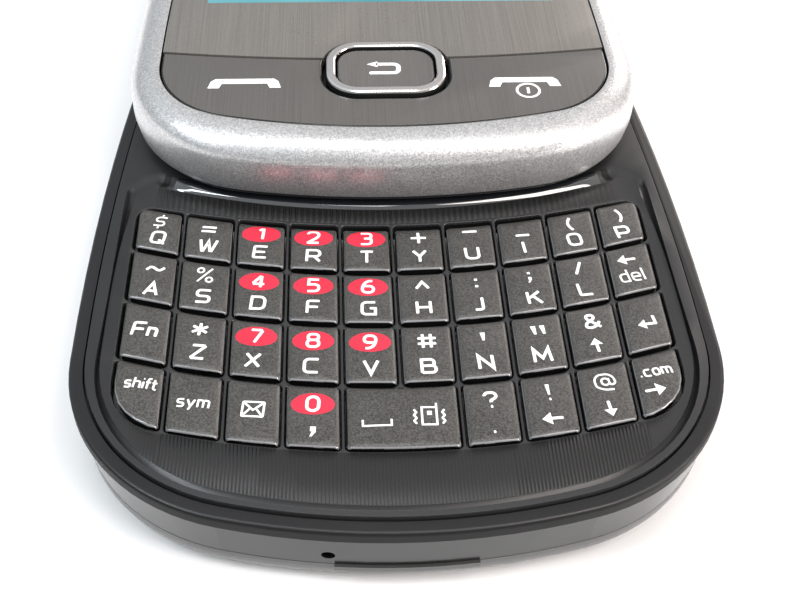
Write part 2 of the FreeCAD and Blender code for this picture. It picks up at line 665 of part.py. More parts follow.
for row, keys in enumerate(keyRows):
    for label, first, last in keys:
        keyCap("key_" + label, first, last, row)


# ---------------------------------------------------------------- keypad bezel
def keyOpening(first, last, row, low, high):
    clearance = size("keyClearance")
    opening = Part.Face(keyWire(first, last, row, clearance, low)).extrude(Vector(0, 0, high - low))
    if cornerSize(first, last, row) != "keySmallCorner":
        return opening
    numbers = outerCorner(opening, -1 if first == 0 else 1)
    edges = [opening.Edges[number - 1] for number in numbers]
    return opening.makeFillet(size("keySmallCorner") + clearance, edges)


def deckPocket(low, high):
    # lowered keyboard deck: inside the smooth band and below the curved step
    inside = slab(baseOutline(size("ridgeInset")), low, high)
    step = cylinder(0, lipY + size("lipRadius"), low, high, 2 * size("lipRadius"))
    widest = lipY + size("lipRadius") / 3
    above = acrossBlock(widest, size("baseLength"), low, high)
    return inside.cut([step, above])


def keypadBezel():
    plate = slab(baseOutline(size("rimWidth") + size("bezelGap")), bezelBottom, bandTop)
    top = bandTop + beyond
    openings = [keyOpening(first, last, row, bezelBottom - beyond, top)
                for row, keys in enumerate(keyRows) for label, first, last in keys]
    halfWidth = size("runnerWidth") / 2 + size("panelGap")
    reach = size("runnerMargin") + size("panelGap")
    recess = block(-halfWidth, halfWidth, railBottom - reach, railTop + reach,
                   bandTop - size("runnerThickness"), top)
    return plate.cut([deckPocket(size("deckHeight"), top), recess] + openings)


piece("keypad_bezel", keypadBezel())


# ---------------------------------------------------------------- keymat and board
def keyboardRegion(grow, inset, low, high):
    # the key block grown on every side, as far as an inset of the case lets it
    left = columnX(0) - grow
    right = columnX(columns) + grow
    lowPoints = [rowPoint(x, 0, -grow) for x in (left, 0, right)]
    highPoints = [rowPoint(x, rowEdges[-1], grow) for x in (right, 0, left)]
    edges = [Part.Arc(*lowPoints).toShape(),
             Part.LineSegment(lowPoints[2], highPoints[0]).toShape(),
             Part.Arc(*highPoints).toShape(),
             Part.LineSegment(highPoints[2], lowPoints[0]).toShape()]
    region = Part.Face(Part.Wire(edges)).extrude(Vector(0, 0, high - low))
    region.translate(Vector(0, 0, low))
    return region.common(slab(baseOutline(inset), low, high))


piece("keymat", keyboardRegion(size("keymatMargin"), keyInset, boardTop, keymatTop))
piece("main_board", keyboardRegion(size("keyMargin"), keyInset, boardBottom, boardTop))


# ---------------------------------------------------------------- case screws
screwLines = [("lowerScrewInset", size("lowerScrewY")), ("middleScrewInset", size("middleScrewY")),
              ("upperScrewInset", size("baseLength") - size("upperScrewFromTop"))]
screws = [(side * (halfWidthAt(baseOutline(), y) - size(inset)), y)
          for inset, y in screwLines for side in (-1, 1)]
screwBottom = size("screwSeat") - size("screwHeadHeight")
screwTop = bezelBottom - size("panelGap")


def atScrews(diameter, low, high):
    return [cylinder(x, y, low, high, diameter) for x, y in screws]


def caseScrews():
    heads = atScrews(size("screwHead"), screwBottom, size("screwSeat"))
    shanks = atScrews(size("screwShank"), size("screwSeat"), screwTop)
    return Part.makeCompound([head.fuse(shank) for head, shank in zip(heads, shanks)])


piece("base_screws", caseScrews())


# ---------------------------------------------------------------- front case
def frontCase():
    rim = slab(baseOutline(), rimBottom, rimTop)
    rim = rim.makeFillet(size("rimEdge"), edgesAt(rim, rimTop))
    rim = rim.cut(slab(baseOutline(size("rimWidth")), bezelBottom, rimTop + beyond))
    plate = slab(baseOutline(caseInside + size("panelGap")), ledgeBottom, bezelBottom)
    opening = keyboardRegion(size("keyMargin"), keyInset, ledgeBottom - beyond, bezelBottom + beyond)
    return rim.fuse(plate).cut([opening] + atScrews(size("screwShank"), ledgeBottom - beyond, screwTop))


piece("base_front_case", frontCase())

# ---------------------------------------------------------------- side keys
volume = {"side": -1, "y": volumeY, "length": size("volumeLength")}
cameraKey = {"side": 1, "y": cameraKeyY, "length": size("cameraKeyLength")}


def sideKeyBox(key, grow, reachIn, reachOut):
    # from inside the case wall to outside it, grown by a clearance
    half = halfWidthAt(baseOutline(), key["y"])
    inner = key["side"] * (half - caseInside - reachIn)
    outer = key["side"] * (half + reachOut)
    height = size("sideKeyHeight") / 2 + grow
    length = key["length"] / 2 + grow
    solid = block(min(inner, outer), max(inner, outer), key["y"] - length, key["y"] + length,
                  size("sideKeyZ") - height, size("sideKeyZ") + height)
    return solid.makeFillet(size("sideKeyCorner") + grow,
                            [edge for edge in solid.Edges if edge.BoundBox.XLength > tiny])


def sideKeyOpening(key):
    return sideKeyBox(key, size("sideKeyClearance"), size("sideKeyReach") + beyond,
                      size("sideKeyRise") + beyond)


def sideKey(key):
    solid = sideKeyBox(key, 0, size("sideKeyReach"), size("sideKeyRise"))
    face = max(key["side"] * edge.BoundBox.Center.x for edge in solid.Edges)
    outside = [edge for edge in solid.Edges if key["side"] * edge.BoundBox.Center.x > face - tiny]
    return solid.makeFillet(size("sideKeyEdge"), outside)


piece("volume_rocker", sideKey(volume))
piece("camera_key", sideKey(cameraKey))


# ---------------------------------------------------------------- rear case
def tubSolid(inset, high):
    # the rear case inside the battery cover, clear of it all along the cover's travel
    bevel = size("coverRound") - size("coverWall") - size("coverGap")
    low = tubBottom + inset
    inner = tubInset + inset
    solid = loftSolid([(low, inner + bevel), (low + bevel, inner), (high, inner)], baseOutline)
    moved = solid.copy()
    moved.translate(Vector(0, -size("coverTravel"), 0))
    return solid.common(moved)


def batteryBay(grow, high):
    reach = size("batteryClearance") + grow
    return block(-batteryHalf - reach, batteryHalf + reach, size("batteryY") - reach, batteryTopY + reach,
                 tubBottom - beyond, high)


def boardShelf():
    outer = keyboardRegion(size("keyMargin"), keyInset, tubBottom, boardBottom)
    inner = keyboardRegion(size("keyMargin") - size("shelfWidth"), keyInset + size("shelfWidth"),
                           tubBottom, boardBottom)
    return outer.cut(inner)


def portBlock(grow, reachOut):
    # space of the charging socket, grown by its walls
    half = halfWidthAt(baseOutline(), portY)
    width = size("portWidth") / 2 + grow
    height = size("portHeight") / 2 + grow
    solid = block(half - size("portDepth") - grow, half + reachOut, portY - width, portY + width,
                  size("portZ") - height, size("portZ") + height)
    return solid.makeFillet(size("portCorner") + grow,
                            [edge for edge in solid.Edges if edge.BoundBox.XLength > tiny])


def cameraOpening():
    half = size("cameraBody") / 2 + size("batteryClearance")
    return block(-half, half, cameraY - half, cameraY + half, tubBottom - beyond, rimBottom)


def micHole():
    return Part.makeCylinder(size("micDiameter") / 2, beyond + caseInside + beyond,
                             Vector(-size("micOffset"), -beyond, size("micZ")), Vector(0, 1, 0))


def rearCase():
    walls = [(size("seamHeight"), size("caseTaper")), (rimBottom, size("partingInset"))]
    shell = loftSolid(walls, baseOutline).cut(slab(baseOutline(caseInside), tubTop, rimBottom + beyond))
    shell = shell.fuse(tubSolid(0, tubTop)).cut(tubSolid(size("tubWall"), rimBottom + beyond))
    bosses = atScrews(size("bossDiameter"), tubBottom, ledgeBottom)
    inside = batteryBay(size("bayWall"), bayCeiling + size("bayWall")).fuse([boardShelf()] + bosses)
    socket = portBlock(size("portWall"), -size("caseTaper"))
    shell = shell.fuse([inside.common(tubSolid(0, ledgeBottom)), socket])
    holes = atScrews(size("screwShank") + 2 * size("screwClearance"), tubBottom, rimBottom)
    holes += atScrews(size("screwHead") + 2 * size("screwClearance"), tubBottom - beyond, size("screwSeat"))
    return shell.cut([batteryBay(0, bayCeiling), cameraOpening(), portBlock(0, beyond), micHole(),
                      sideKeyOpening(volume), sideKeyOpening(cameraKey)] + holes)


piece("base_rear_case", rearCase())


# ---------------------------------------------------------------- battery cover
def thumbTab(top):
    # a low lip across the middle of the bottom end, to push the cover by
    half = size("tabWidth") / 2
    low = top - size("tabHeight")
    strip = block(-half, half, -beyond, size("coverRound"), low, top)
    return slab(baseOutline(size("caseTaper") - size("tabRise")), low, top).common(strip)


def batteryCover():
    taper = size("caseTaper")
    wall = size("coverWall")
    top = size("seamHeight") - size("coverSeam")
    outer = slab(baseOutline(taper), 0, top)
    outer = outer.makeFillet(size("coverRound"), edgesAt(outer, 0)).fuse(thumbTab(top))
    inner = slab(baseOutline(taper + wall), wall, size("seamHeight") + beyond)
    inner = inner.makeFillet(size("coverRound") - wall, edgesAt(inner, wall))
    holes = [cylinder(0, cameraY, -beyond, wall + beyond, size("cameraHole"))]
    for side in (-1, 1):
        for hole in range(soundHoles):
            x = side * (size("speakerX") + hole * size("speakerPitch"))
            holes.append(cylinder(x, cameraY, -beyond, wall + beyond, size("speakerHole")))
    return outer.cut([inner] + holes)


piece("battery_cover", batteryCover())


# ---------------------------------------------------------------- battery and camera
def boundBox(name, lengths, base):
    # a box whose sizes and place are expressions of the sheet
    box = doc.addObject("Part::Box", name)
    for prop, expression in zip(("Length", "Width", "Height"), lengths):
        box.setExpression(prop, expression)
    for prop, expression in zip("xyz", base):
        box.setExpression("Placement.Base." + prop, expression)
    return box


def boundCylinder(name, radius, height, base):
    tube = doc.addObject("Part::Cylinder", name)
    tube.setExpression("Radius", radius)
    tube.setExpression("Height", height)
    for prop, expression in zip("xyz", base):
        tube.setExpression("Placement.Base." + prop, expression)
    return tube


insideCover = "Dims.coverWall + Dims.coverGap"
halfBattery = "(Dims.baseWidth / 2 - Dims.baseTopNarrowing - Dims.batterySideMargin)"
battery = boundBox("battery",
                   ("2 * " + halfBattery, "Dims.baseLength - Dims.batteryTopMargin - Dims.batteryY",
                    "Dims.batteryThickness"),
                   ("-" + halfBattery, "Dims.batteryY + " + originExpression, insideCover))
battery.Label = "battery"
pieces.append(battery)

underPlate = "Dims.deckHeight - Dims.bezelThickness - Dims.ledgeThickness"
cameraModule = doc.addObject("Part::MultiFuse", "camera_module")
cameraModule.Label = "camera_module"
cameraModule.Shapes = [
    boundBox("camera_body", ("Dims.cameraBody", "Dims.cameraBody", underPlate + " - Dims.seamHeight"),
             ("-Dims.cameraBody / 2", "Dims.baseLength - Dims.cameraFromTop - Dims.cameraBody / 2",
              "Dims.seamHeight")),
    boundCylinder("camera_barrel", "Dims.cameraBarrel / 2", "Dims.seamHeight - (%s)" % insideCover,
                  ("0", "Dims.baseLength - Dims.cameraFromTop", insideCover))]
place(cameraModule)


# ---------------------------------------------------------------- runner on the base, channel on the slide
def alongRails(halfWidth, low, high, start, finish):
    # one block on each rail's line
    return [block(x - halfWidth, x + halfWidth, start, finish, low, high) for x in (-railX, railX)]


def slideRunner():
    margin = size("runnerMargin")
    plate = block(-size("runnerWidth") / 2, size("runnerWidth") / 2, railBottom - margin, railTop + margin,
                  bandTop - size("runnerThickness"), bandTop)
    headBottom = channelTop + size("railClearance")
    stems = alongRails(size("railStem") / 2, bandTop, headBottom, railBottom, railTop)
    heads = alongRails(size("railHead") / 2, headBottom, headBottom + size("railHeadHeight"),
                       railBottom, railTop)
    return plate.fuse(stems + heads)


piece("slide_runner", slideRunner())


def channelPlate(grow, low):
    # steel plate of the slide, or its recess
    half = size("channelWidth") / 2 + grow
    margin = size("channelMargin") + grow
    return block(-half, half, railBottom - margin, railEnd + margin, low, channelTop)


def railSlots(halfWidth, low, high):
    return alongRails(halfWidth, low, high, railBottom - size("railSpare"), railEnd + size("railSpare"))


stemSlots = railSlots(size("railStem") / 2 + size("railClearance"), slideBottom, channelTop)
piece("slide_channel_plate", channelPlate(0, slideBottom).cut(stemSlots))


# ---------------------------------------------------------------- slide back
def displaySpan(inset):
    # X and Y limits of the display module, drawn in by inset
    margin = size("panelMargin") - inset
    return (-screenHalf - margin, screenHalf + margin, screenBottomY - margin, screenTopY + margin)


def displayRibs():
    # a low wall that carries the edge of the display module
    high = displayTop - size("displayThickness")
    outer = block(*displaySpan(0), frameBottom, high)
    return outer.cut(block(*displaySpan(size("displayRib")), frameBottom - beyond, high + beyond))


def keyDeck():
    # raised deck that carries the ring and the two key domes
    inside = slab(windowOutline(size("windowLedge") + size("panelGap")), frameBottom, deckTop)
    return inside.common(acrossBlock(openY, plateEdgeY + size("keyDeckReach"), frameBottom, deckTop))


def earpieceBlock(low, high):
    return roundedBlock(size("earpieceWidth"), size("earpieceLength"), size("earpieceCorner"),
                        0, earpieceCentreY, low, high)


def slideBack():
    lower = slab(slideOutline(size("backInset")), slideBottom, frameBottom)
    lower = lower.makeFillet(size("backEdge"), edgesAt(lower, slideBottom))
    upper = slab(slideOutline(size("frameWall") + size("panelGap")), frameBottom, backTop)
    earSeat = earpieceBlock(frameBottom, displayTop - size("earpieceThickness"))
    solid = lower.fuse([upper, displayRibs(), keyDeck(), earSeat])
    recess = channelPlate(size("plateClearance"), slideBottom - beyond)
    headRoom = channelTop + 2 * size("railClearance") + size("railHeadHeight")
    heads = railSlots(size("railHead") / 2 + 2 * size("railClearance"), slideBottom, headRoom)
    return solid.cut([recess] + heads)


piece("slide_back", slideBack())


# ---------------------------------------------------------------- silver frame
def frameShell():
    # outer skin: a drafted lower edge, an upright wall and a rounded top
    crease = slideTop - size("pillowHeight")
    levels = [(frameBottom, size("frameDraft")), (frameBottom + size("frameDraftHeight"), 0), (crease, 0)]
    shell = loftSolid(levels, slideOutline)
    for step in range(pillowSteps):
        turns = [math.pi / 2 * (step + end) / pillowSteps for end in (0, 1)]
        levels = [(crease + size("pillowHeight") * math.sin(turn),
                   size("frameBandSide") * (1 - math.cos(turn))) for turn in turns]
        shell = shell.fuse(loftSolid(levels, slideOutline))
    return shell


def slideFrame():
    ledge = size("windowLedge")
    ledgeBase = windowBottom - ledge
    cavity = slab(slideOutline(size("frameWall")), frameBottom - beyond, ledgeBase)
    opening = slab(windowOutline(ledge), frameBottom, slideTop)
    window = slab(windowOutline(), windowBottom, slideTop + beyond)
    rockerRoom = slab(windowOutline(), ledgeBase, slideTop).common(belowGroove(size("panelGap")))
    return frameShell().cut([cavity, opening, window, rockerRoom])


piece("slide_frame", slideFrame())


# ---------------------------------------------------------------- window, key plate, ring, back key
def ringBlock(grow, low, high):
    return roundedBlock(size("ringWidth") + 2 * grow, size("ringHeight") + 2 * grow,
                        size("ringCorner") + grow, 0, ringCentreY, low, high)


def panel(lowY, highY):
    # part of the window's outline between two Y values, with room for the ring
    face = slab(windowOutline(size("panelGap")), windowBottom, windowTop)
    return face.common(acrossBlock(lowY, highY, windowBottom, windowTop)).cut(
        ringBlock(size("ringGap"), windowBottom, windowTop))


def frontWindow():
    slot = roundedBlock(size("earSlotWidth"), size("earSlotHeight"), size("earSlotHeight") / 2 - tiny,
                        0, earpieceCentreY, windowBottom, windowTop)
    whole = panel(openY, openY + slideLength).cut(slot)
    return whole.cut(belowGroove(size("panelGap") / 2))


piece("front_window", frontWindow())
piece("key_plate", panel(openY, openY + slideLength).common(belowGroove(-size("panelGap") / 2)))


def keyRing():
    top = windowTop + size("ringRise")
    outer = ringBlock(0, deckTop, top)
    outer = outer.makeFillet(size("ringRise"), edgesAt(outer, top))
    return outer.cut(ringBlock(-size("ringBand"), deckTop, top))


piece("key_ring", keyRing())


def backKey():
    top = windowTop + size("backKeyRise")
    cap = ringBlock(-size("ringBand") - size("backKeyGap"),
                    deckTop + size("backKeyTravel") + size("panelGap"), top)
    return cap.makeFillet(size("backKeyEdge"), edgesAt(cap, top))


piece("back_key", backKey())

# ---------------------------------------------------------------- display and earpiece
piece("display_module", block(*displaySpan(0), displayTop - size("displayThickness"), displayTop))
piece("earpiece", earpieceBlock(displayTop - size("earpieceThickness"), displayTop))

# ---------------------------------------------------------------- check and write
doc.recompute()
for item in doc.Objects:
    if "Invalid" in item.State or "Error" in item.State:
        raise RuntimeError("failed: " + item.Name)
for item in pieces:
    if item.Shape.isNull() or not item.Shape.isValid():
        raise RuntimeError("bad shape: " + item.Label)
for item in pieces:
    item.Shape.exportStep("parts/%s.step" % item.Label)
    box = item.Shape.BoundBox
    print("%-22s solids %d  volume %9.2f  x %7.2f %7.2f  y %7.2f %7.2f  z %6.2f %6.2f" % (
        item.Label, len(item.Shape.Solids), item.Shape.Volume,
        box.XMin, box.XMax, box.YMin, box.YMax, box.ZMin, box.ZMax))
print(len(pieces), "pieces")
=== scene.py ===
import math
import bmesh
import bpy
from mathutils import Matrix, Vector


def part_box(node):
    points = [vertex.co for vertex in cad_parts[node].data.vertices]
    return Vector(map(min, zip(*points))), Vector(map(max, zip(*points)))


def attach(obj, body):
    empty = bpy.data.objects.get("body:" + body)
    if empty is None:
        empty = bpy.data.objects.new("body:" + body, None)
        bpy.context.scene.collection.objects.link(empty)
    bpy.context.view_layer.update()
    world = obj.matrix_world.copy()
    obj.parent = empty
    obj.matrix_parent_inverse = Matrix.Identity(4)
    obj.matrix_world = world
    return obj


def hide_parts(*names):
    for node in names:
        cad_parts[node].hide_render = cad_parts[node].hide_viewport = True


# Slider phone, opened and lying on its back. Shapes are drawn in millimetres and scaled when finished.
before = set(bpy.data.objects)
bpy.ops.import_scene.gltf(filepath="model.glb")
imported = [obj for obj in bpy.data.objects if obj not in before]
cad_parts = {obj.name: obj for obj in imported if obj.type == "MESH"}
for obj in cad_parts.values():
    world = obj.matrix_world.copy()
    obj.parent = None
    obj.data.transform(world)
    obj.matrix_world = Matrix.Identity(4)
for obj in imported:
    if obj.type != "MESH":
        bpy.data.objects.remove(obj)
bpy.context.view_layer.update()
millimetre = 0.001
mergeDistance = 1e-5  # millimetres, as all lengths below
sameLevel = 1e-4
print("frame loaded:", len(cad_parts), "nodes")


# ---- small helpers
def vertsIn(items):
    return [item for item in items if isinstance(item, bmesh.types.BMVert)]


def facesIn(items):
    return [item for item in items if isinstance(item, bmesh.types.BMFace)]


def within(value):
    # held between 0 and 1
    return max(0.0, min(value, 1.0))


# ---- measures taken from the frame
def nodeBox(node):
    low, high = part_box(node)
    return low / millimetre, high / millimetre


def planOf(node, shape):
    # outline of the base or the slide: its box and its own radii
    low, high = nodeBox(node)
    return dict(shape, end=low.y, top=high.y, half=high.x, bulge=low.y + shape["bulgeUp"])


basePlan = planOf("base_front_case", {
    "bulgeUp": 24.5, "endRadius": 59.0, "cornerRadius": 17.5, "sideRadius": 318.0,
    "narrowing": 2.75, "waistRadius": 250.0, "topCornerRadius": 16.0})
slidePlan = planOf("slide_frame", {
    "bulgeUp": 15.0, "endRadius": 74.0, "cornerRadius": 14.0, "sideRadius": 300.0,
    "narrowing": 1.8, "waistRadius": 250.0, "topCornerRadius": 14.0})

frameBand = {"side": 3.15, "end": 3.5, "endRadius": 64.0, "corner": 8.6}
windowPlan = dict(
    slidePlan, end=slidePlan["end"] + frameBand["end"], top=slidePlan["top"] - frameBand["end"],
    half=slidePlan["half"] - frameBand["side"], endRadius=frameBand["endRadius"],
    cornerRadius=frameBand["corner"], topCornerRadius=frameBand["corner"],
    sideRadius=slidePlan["sideRadius"] - frameBand["side"],
    waistRadius=slidePlan["waistRadius"] + frameBand["side"])


# ---- outlines, drawn with spins
mirrored = Matrix.Scale(-1, 3, (1, 0, 0))
arcSteps = {"end": 10, "corner": 14, "side": 12, "waist": 6, "top": 12, "topEnd": 8}


def innerTangentCentre(centreA, radiusA, centreB, radiusB, radius):
    # lower centre of the arc of this radius that touches circles A and B from inside
    reachA = radiusA - radius
    reachB = radiusB - radius
    line = centreB - centreA
    along = (reachA ** 2 - reachB ** 2 + line.length_squared) / (2 * line.length)
    across = math.sqrt(reachA ** 2 - along ** 2)
    unit = line.normalized()
    side = Vector((unit.y, -unit.x, 0))
    return min((centreA + unit * along + side * across, centreA + unit * along - side * across),
               key=lambda point: point.y)


def turnFrom(start, finish):
    return math.atan2(start.x * finish.y - start.y * finish.x, start.x * finish.x + start.y * finish.y)


def spinTo(bm, vert, centre, goal, steps):
    # turns a vertex round a centre as far as the goal, and returns the last new vertex
    angle = turnFrom(vert.co - centre, goal - centre)
    made = bmesh.ops.spin(bm, geom=[vert], cent=centre, axis=(0, 0, 1), dvec=(0, 0, 0), angle=angle,
                          steps=steps, use_merge=False, use_duplicate=False)
    return vertsIn(made["geom_last"])[0]


def outlineArcs(plan):
    # centre, far end, steps and side of each arc of the right half, from the bottom to the top
    topHalf = plan["half"] - plan["narrowing"]
    endCentre = Vector((0, plan["end"] + plan["endRadius"], 0))
    sideCentre = Vector((plan["half"] - plan["sideRadius"], plan["bulge"], 0))
    cornerCentre = innerTangentCentre(endCentre, plan["endRadius"], sideCentre, plan["sideRadius"],
                                      plan["cornerRadius"])
    waistX = topHalf + plan["waistRadius"]
    reach = plan["sideRadius"] + plan["waistRadius"]
    waistY = plan["bulge"] + math.sqrt(reach ** 2 - (waistX - sideCentre.x) ** 2)
    waistCentre = Vector((waistX, waistY, 0))
    topCentre = Vector((0, plan["top"] - plan["endRadius"], 0))
    topCornerX = topHalf - plan["topCornerRadius"]
    topReach = plan["endRadius"] - plan["topCornerRadius"]
    topCornerY = topCentre.y + math.sqrt(topReach ** 2 - topCornerX ** 2)
    topCornerCentre = Vector((topCornerX, topCornerY, 0))

    def toward(centre, point, radius):
        return centre + (point - centre).normalized() * radius

    return [
        (endCentre, toward(endCentre, cornerCentre, plan["endRadius"]), arcSteps["end"], 1),
        (cornerCentre, toward(sideCentre, cornerCentre, plan["sideRadius"]), arcSteps["corner"], 1),
        (sideCentre, toward(sideCentre, waistCentre, plan["sideRadius"]), arcSteps["side"], 1),
        (waistCentre, Vector((topHalf, waistY, 0)), arcSteps["waist"], -1),
        (None, Vector((topHalf, topCornerY, 0)), 1, 1),
        (topCornerCentre, toward(topCentre, topCornerCentre, plan["endRadius"]), arcSteps["top"], 1),
        (topCentre, Vector((0, plan["top"], 0)), arcSteps["topEnd"], 1)]


def outlineOf(plan):
    # points and outward directions round the whole outline, from the middle of the bottom end
    bm = bmesh.new()
    last = bm.verts.new((0, plan["end"], 0))
    normals = [Vector((0, -1, 0))]
    for centre, goal, steps, outward in outlineArcs(plan):
        start = last.co.copy()
        if centre is None:
            last = bm.verts.new(goal)
            bm.edges.new((bm.verts[:][-2], last))
            normals.append(Vector((1, 0, 0)))
            continue
        last = spinTo(bm, last, centre, goal, steps)
        first = (start - centre).normalized() * outward
        final = (goal - centre).normalized() * outward
        turn = turnFrom(first, final)
        normals += [Matrix.Rotation(turn * step / steps, 3, "Z") @ first for step in range(1, steps + 1)]
    points = [vert.co.copy() for vert in bm.verts]
    bm.free()
    points += [mirrored @ point for point in reversed(points[1:-1])]
    normals += [mirrored @ normal for normal in reversed(normals[1:-1])]
    return {"points": points, "normals": normals}


baseOutline = outlineOf(basePlan)
slideOutline = outlineOf(slidePlan)
windowOutline = outlineOf(windowPlan)


def inset(outline, distance, z):
    return [Vector((point.x - normal.x * distance, point.y - normal.y * distance, z))
            for point, normal in zip(outline["points"], outline["normals"])]


def ringsAt(outline, places):
    # a ring for each inset distance and height
    return [inset(outline, distance, z) for distance, z in places]


def between(first, second, share, z):
    return [Vector((a.x + (b.x - a.x) * share, a.y + (b.y - a.y) * share, z))
            for a, b in zip(first, second)]


# ---- building helpers
def firstRing(bm, places):
    made = bmesh.ops.create_circle(bm, cap_ends=False, radius=1, segments=len(places))["verts"]
    for vert, place in zip(made, places):
        vert.co = place
    return list(made)


def extrudeRing(bm, ring, places, material=0):
    # extrudes a loop of vertices and moves the new one into place
    edges = [bm.edges.get(pair) for pair in zip(ring, ring[1:] + ring[:1])]
    made = bmesh.ops.extrude_edge_only(bm, edges=edges)["geom"]
    fresh = set(vertsIn(made))
    for face in facesIn(made):
        face.material_index = material
    following = []
    for vert, place in zip(ring, places):
        moved = [edge.other_vert(vert) for edge in vert.link_edges if edge.other_vert(vert) in fresh][0]
        moved.co = place
        following.append(moved)
    return following


def sweepRings(bm, rings, closed=True, materials=None):
    # skin through rings of places, joined back to the first ring if closed
    ring = firstRing(bm, rings[0])
    first = ring
    for index, places in enumerate(rings[1:]):
        ring = extrudeRing(bm, ring, places, materials[index] if materials else 0)
    if closed:
        ring = extrudeRing(bm, ring, rings[0], materials[-1] if materials else 0)
        bmesh.ops.remove_doubles(bm, verts=first + ring, dist=mergeDistance)
    return first


def boundaryAt(bm, z):
    # open edges that lie at this height
    return [edge for edge in bm.edges if edge.is_boundary or edge.is_wire
            if all(abs(vert.co.z - z) < sameLevel for vert in edge.verts)]


def finishPiece(name, bm, materials, body, replaced=(), sharpAngle=35):
    bmesh.ops.remove_doubles(bm, verts=bm.verts, dist=mergeDistance)
    bmesh.ops.recalc_face_normals(bm, faces=bm.faces)
    bmesh.ops.scale(bm, vec=(millimetre,) * 3, verts=bm.verts)
    mesh = bpy.data.meshes.new(name)
    bm.to_mesh(mesh)
    bm.free()
    for material in materials:
        mesh.materials.append(material)
    mesh.shade_smooth()
    mesh.set_sharp_from_angle(angle=math.radians(sharpAngle))
    piece = bpy.data.objects.new(name, mesh)
    bpy.context.scene.collection.objects.link(piece)
    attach(piece, body)
    if replaced:
        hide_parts(*replaced)


def nodeMesh(node):
    # a merged copy of a node's mesh in millimetres, its flat faces joined
    bm = bmesh.new()
    bm.from_mesh(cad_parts[node].data)
    bmesh.ops.scale(bm, vec=(1 / millimetre,) * 3, verts=bm.verts)
    flatAngle = math.radians(0.3)
    bmesh.ops.remove_doubles(bm, verts=bm.verts, dist=sameLevel)
    bmesh.ops.dissolve_limit(bm, angle_limit=flatAngle, verts=bm.verts, edges=bm.edges)
    return bm


def softenNode(node, width, material, body, segments=2, edgeFinish=None):
    # the node's own shape with its hard edges slightly rounded, and a finish for the rounded edges
    bm = nodeMesh(node)
    hardAngle = math.radians(50)
    hard = [edge for edge in bm.edges if len(edge.link_faces) == 2 and edge.calc_face_angle() > hardAngle]
    made = bmesh.ops.bevel(bm, geom=hard, offset=width, offset_type="OFFSET", segments=segments,
                           profile=0.5, affect="EDGES", material=-1, clamp_overlap=True)
    if edgeFinish:
        for face in made["faces"]:
            face.material_index = 1
    finishes = [material, edgeFinish] if edgeFinish else [material]
    return finishPiece(node + "_finished", bm, finishes, body, [node])


# ---- steps that the surface effects are made of
def addNode(tree, kind, settings=None, inputs=None):
    node = tree.nodes.new(kind)
    for name, value in (settings or {}).items():
        setattr(node, name, value)
    for name, value in (inputs or {}).items():
        if isinstance(value, bpy.types.NodeSocket):
            tree.links.new(value, node.inputs[name])
        else:
            node.inputs[name].default_value = value
    return node


def mathOf(tree, operation, *values):
    return addNode(tree, "ShaderNodeMath", {"operation": operation}, dict(enumerate(values))).outputs[0]


def vectorOf(tree, operation, inputs):
    return addNode(tree, "ShaderNodeVectorMath", {"operation": operation}, inputs).outputs[0]


def noiseOf(tree, place, scale, detail, roughness=0.5):
    return addNode(tree, "ShaderNodeTexNoise", inputs={
        "Vector": place, "Scale": scale, "Detail": detail, "Roughness": roughness}).outputs["Fac"]


def mixOf(tree, kind, factor, first, second, blend="MIX"):
    return addNode(tree, "ShaderNodeMix", {"data_type": kind, "blend_type": blend}, {
        "Factor": factor, "A": first, "B": second}).outputs["Result"]


def rangeOf(tree, value, source, target):
    # carries a value from one range into another
    return addNode(tree, "ShaderNodeMapRange", inputs={
        "Value": value, "From Min": source[0], "From Max": source[1],
        "To Min": target[0], "To Max": target[1]}).outputs[0]


def placeOf(tree, kind="Object"):
    # place on the piece, and its X, Y and Z apart
    place = addNode(tree, "ShaderNodeTexCoord").outputs[kind]
    return place, addNode(tree, "ShaderNodeSeparateXYZ", inputs={0: place}).outputs


maskSpan = (0.3, 0.7)  # where nearly all of a mask's values lie


def rampOf(tree, factor, low, high, span=maskSpan):
    ramp = addNode(tree, "ShaderNodeValToRGB", inputs={"Fac": factor})
    for element, position, colour in zip(ramp.color_ramp.elements, span, (low, high)):
        element.position = position
        element.color = (*colour, 1)
    return ramp.outputs["Color"]


# ---- shared surface effects, each with a mask for colour and roughness
def startEffect(name, inputs, second, kind):
    # an empty effect with its number inputs and two outputs: the mask and a second one
    group = bpy.data.node_groups.new(name, "ShaderNodeTree")
    for socket, value in inputs.items():
        group.interface.new_socket(name=socket, in_out="INPUT",
                                   socket_type="NodeSocketFloat").default_value = value
    group.interface.new_socket(name="Mask", in_out="OUTPUT", socket_type="NodeSocketFloat")
    group.interface.new_socket(name=second, in_out="OUTPUT", socket_type=kind)
    source = group.nodes.new("NodeGroupInput")
    target = group.nodes.new("NodeGroupOutput")
    return group, source.outputs, target.inputs, placeOf(group)[0]


def makeGrain():
    # fine moulded grain in broad patches, with its height
    group, given, wanted, place = startEffect(
        "grain", {"Scale": 900.0, "Patch Scale": 60.0, "Patch Share": 0.35}, "Height", "NodeSocketFloat")
    fine = noiseOf(group, place, given["Scale"], 3.0, 0.6)
    broad = noiseOf(group, place, given["Patch Scale"], 2.0)
    group.links.new(mixOf(group, "FLOAT", given["Patch Share"], fine, broad), wanted["Mask"])
    group.links.new(fine, wanted["Height"])
    return group


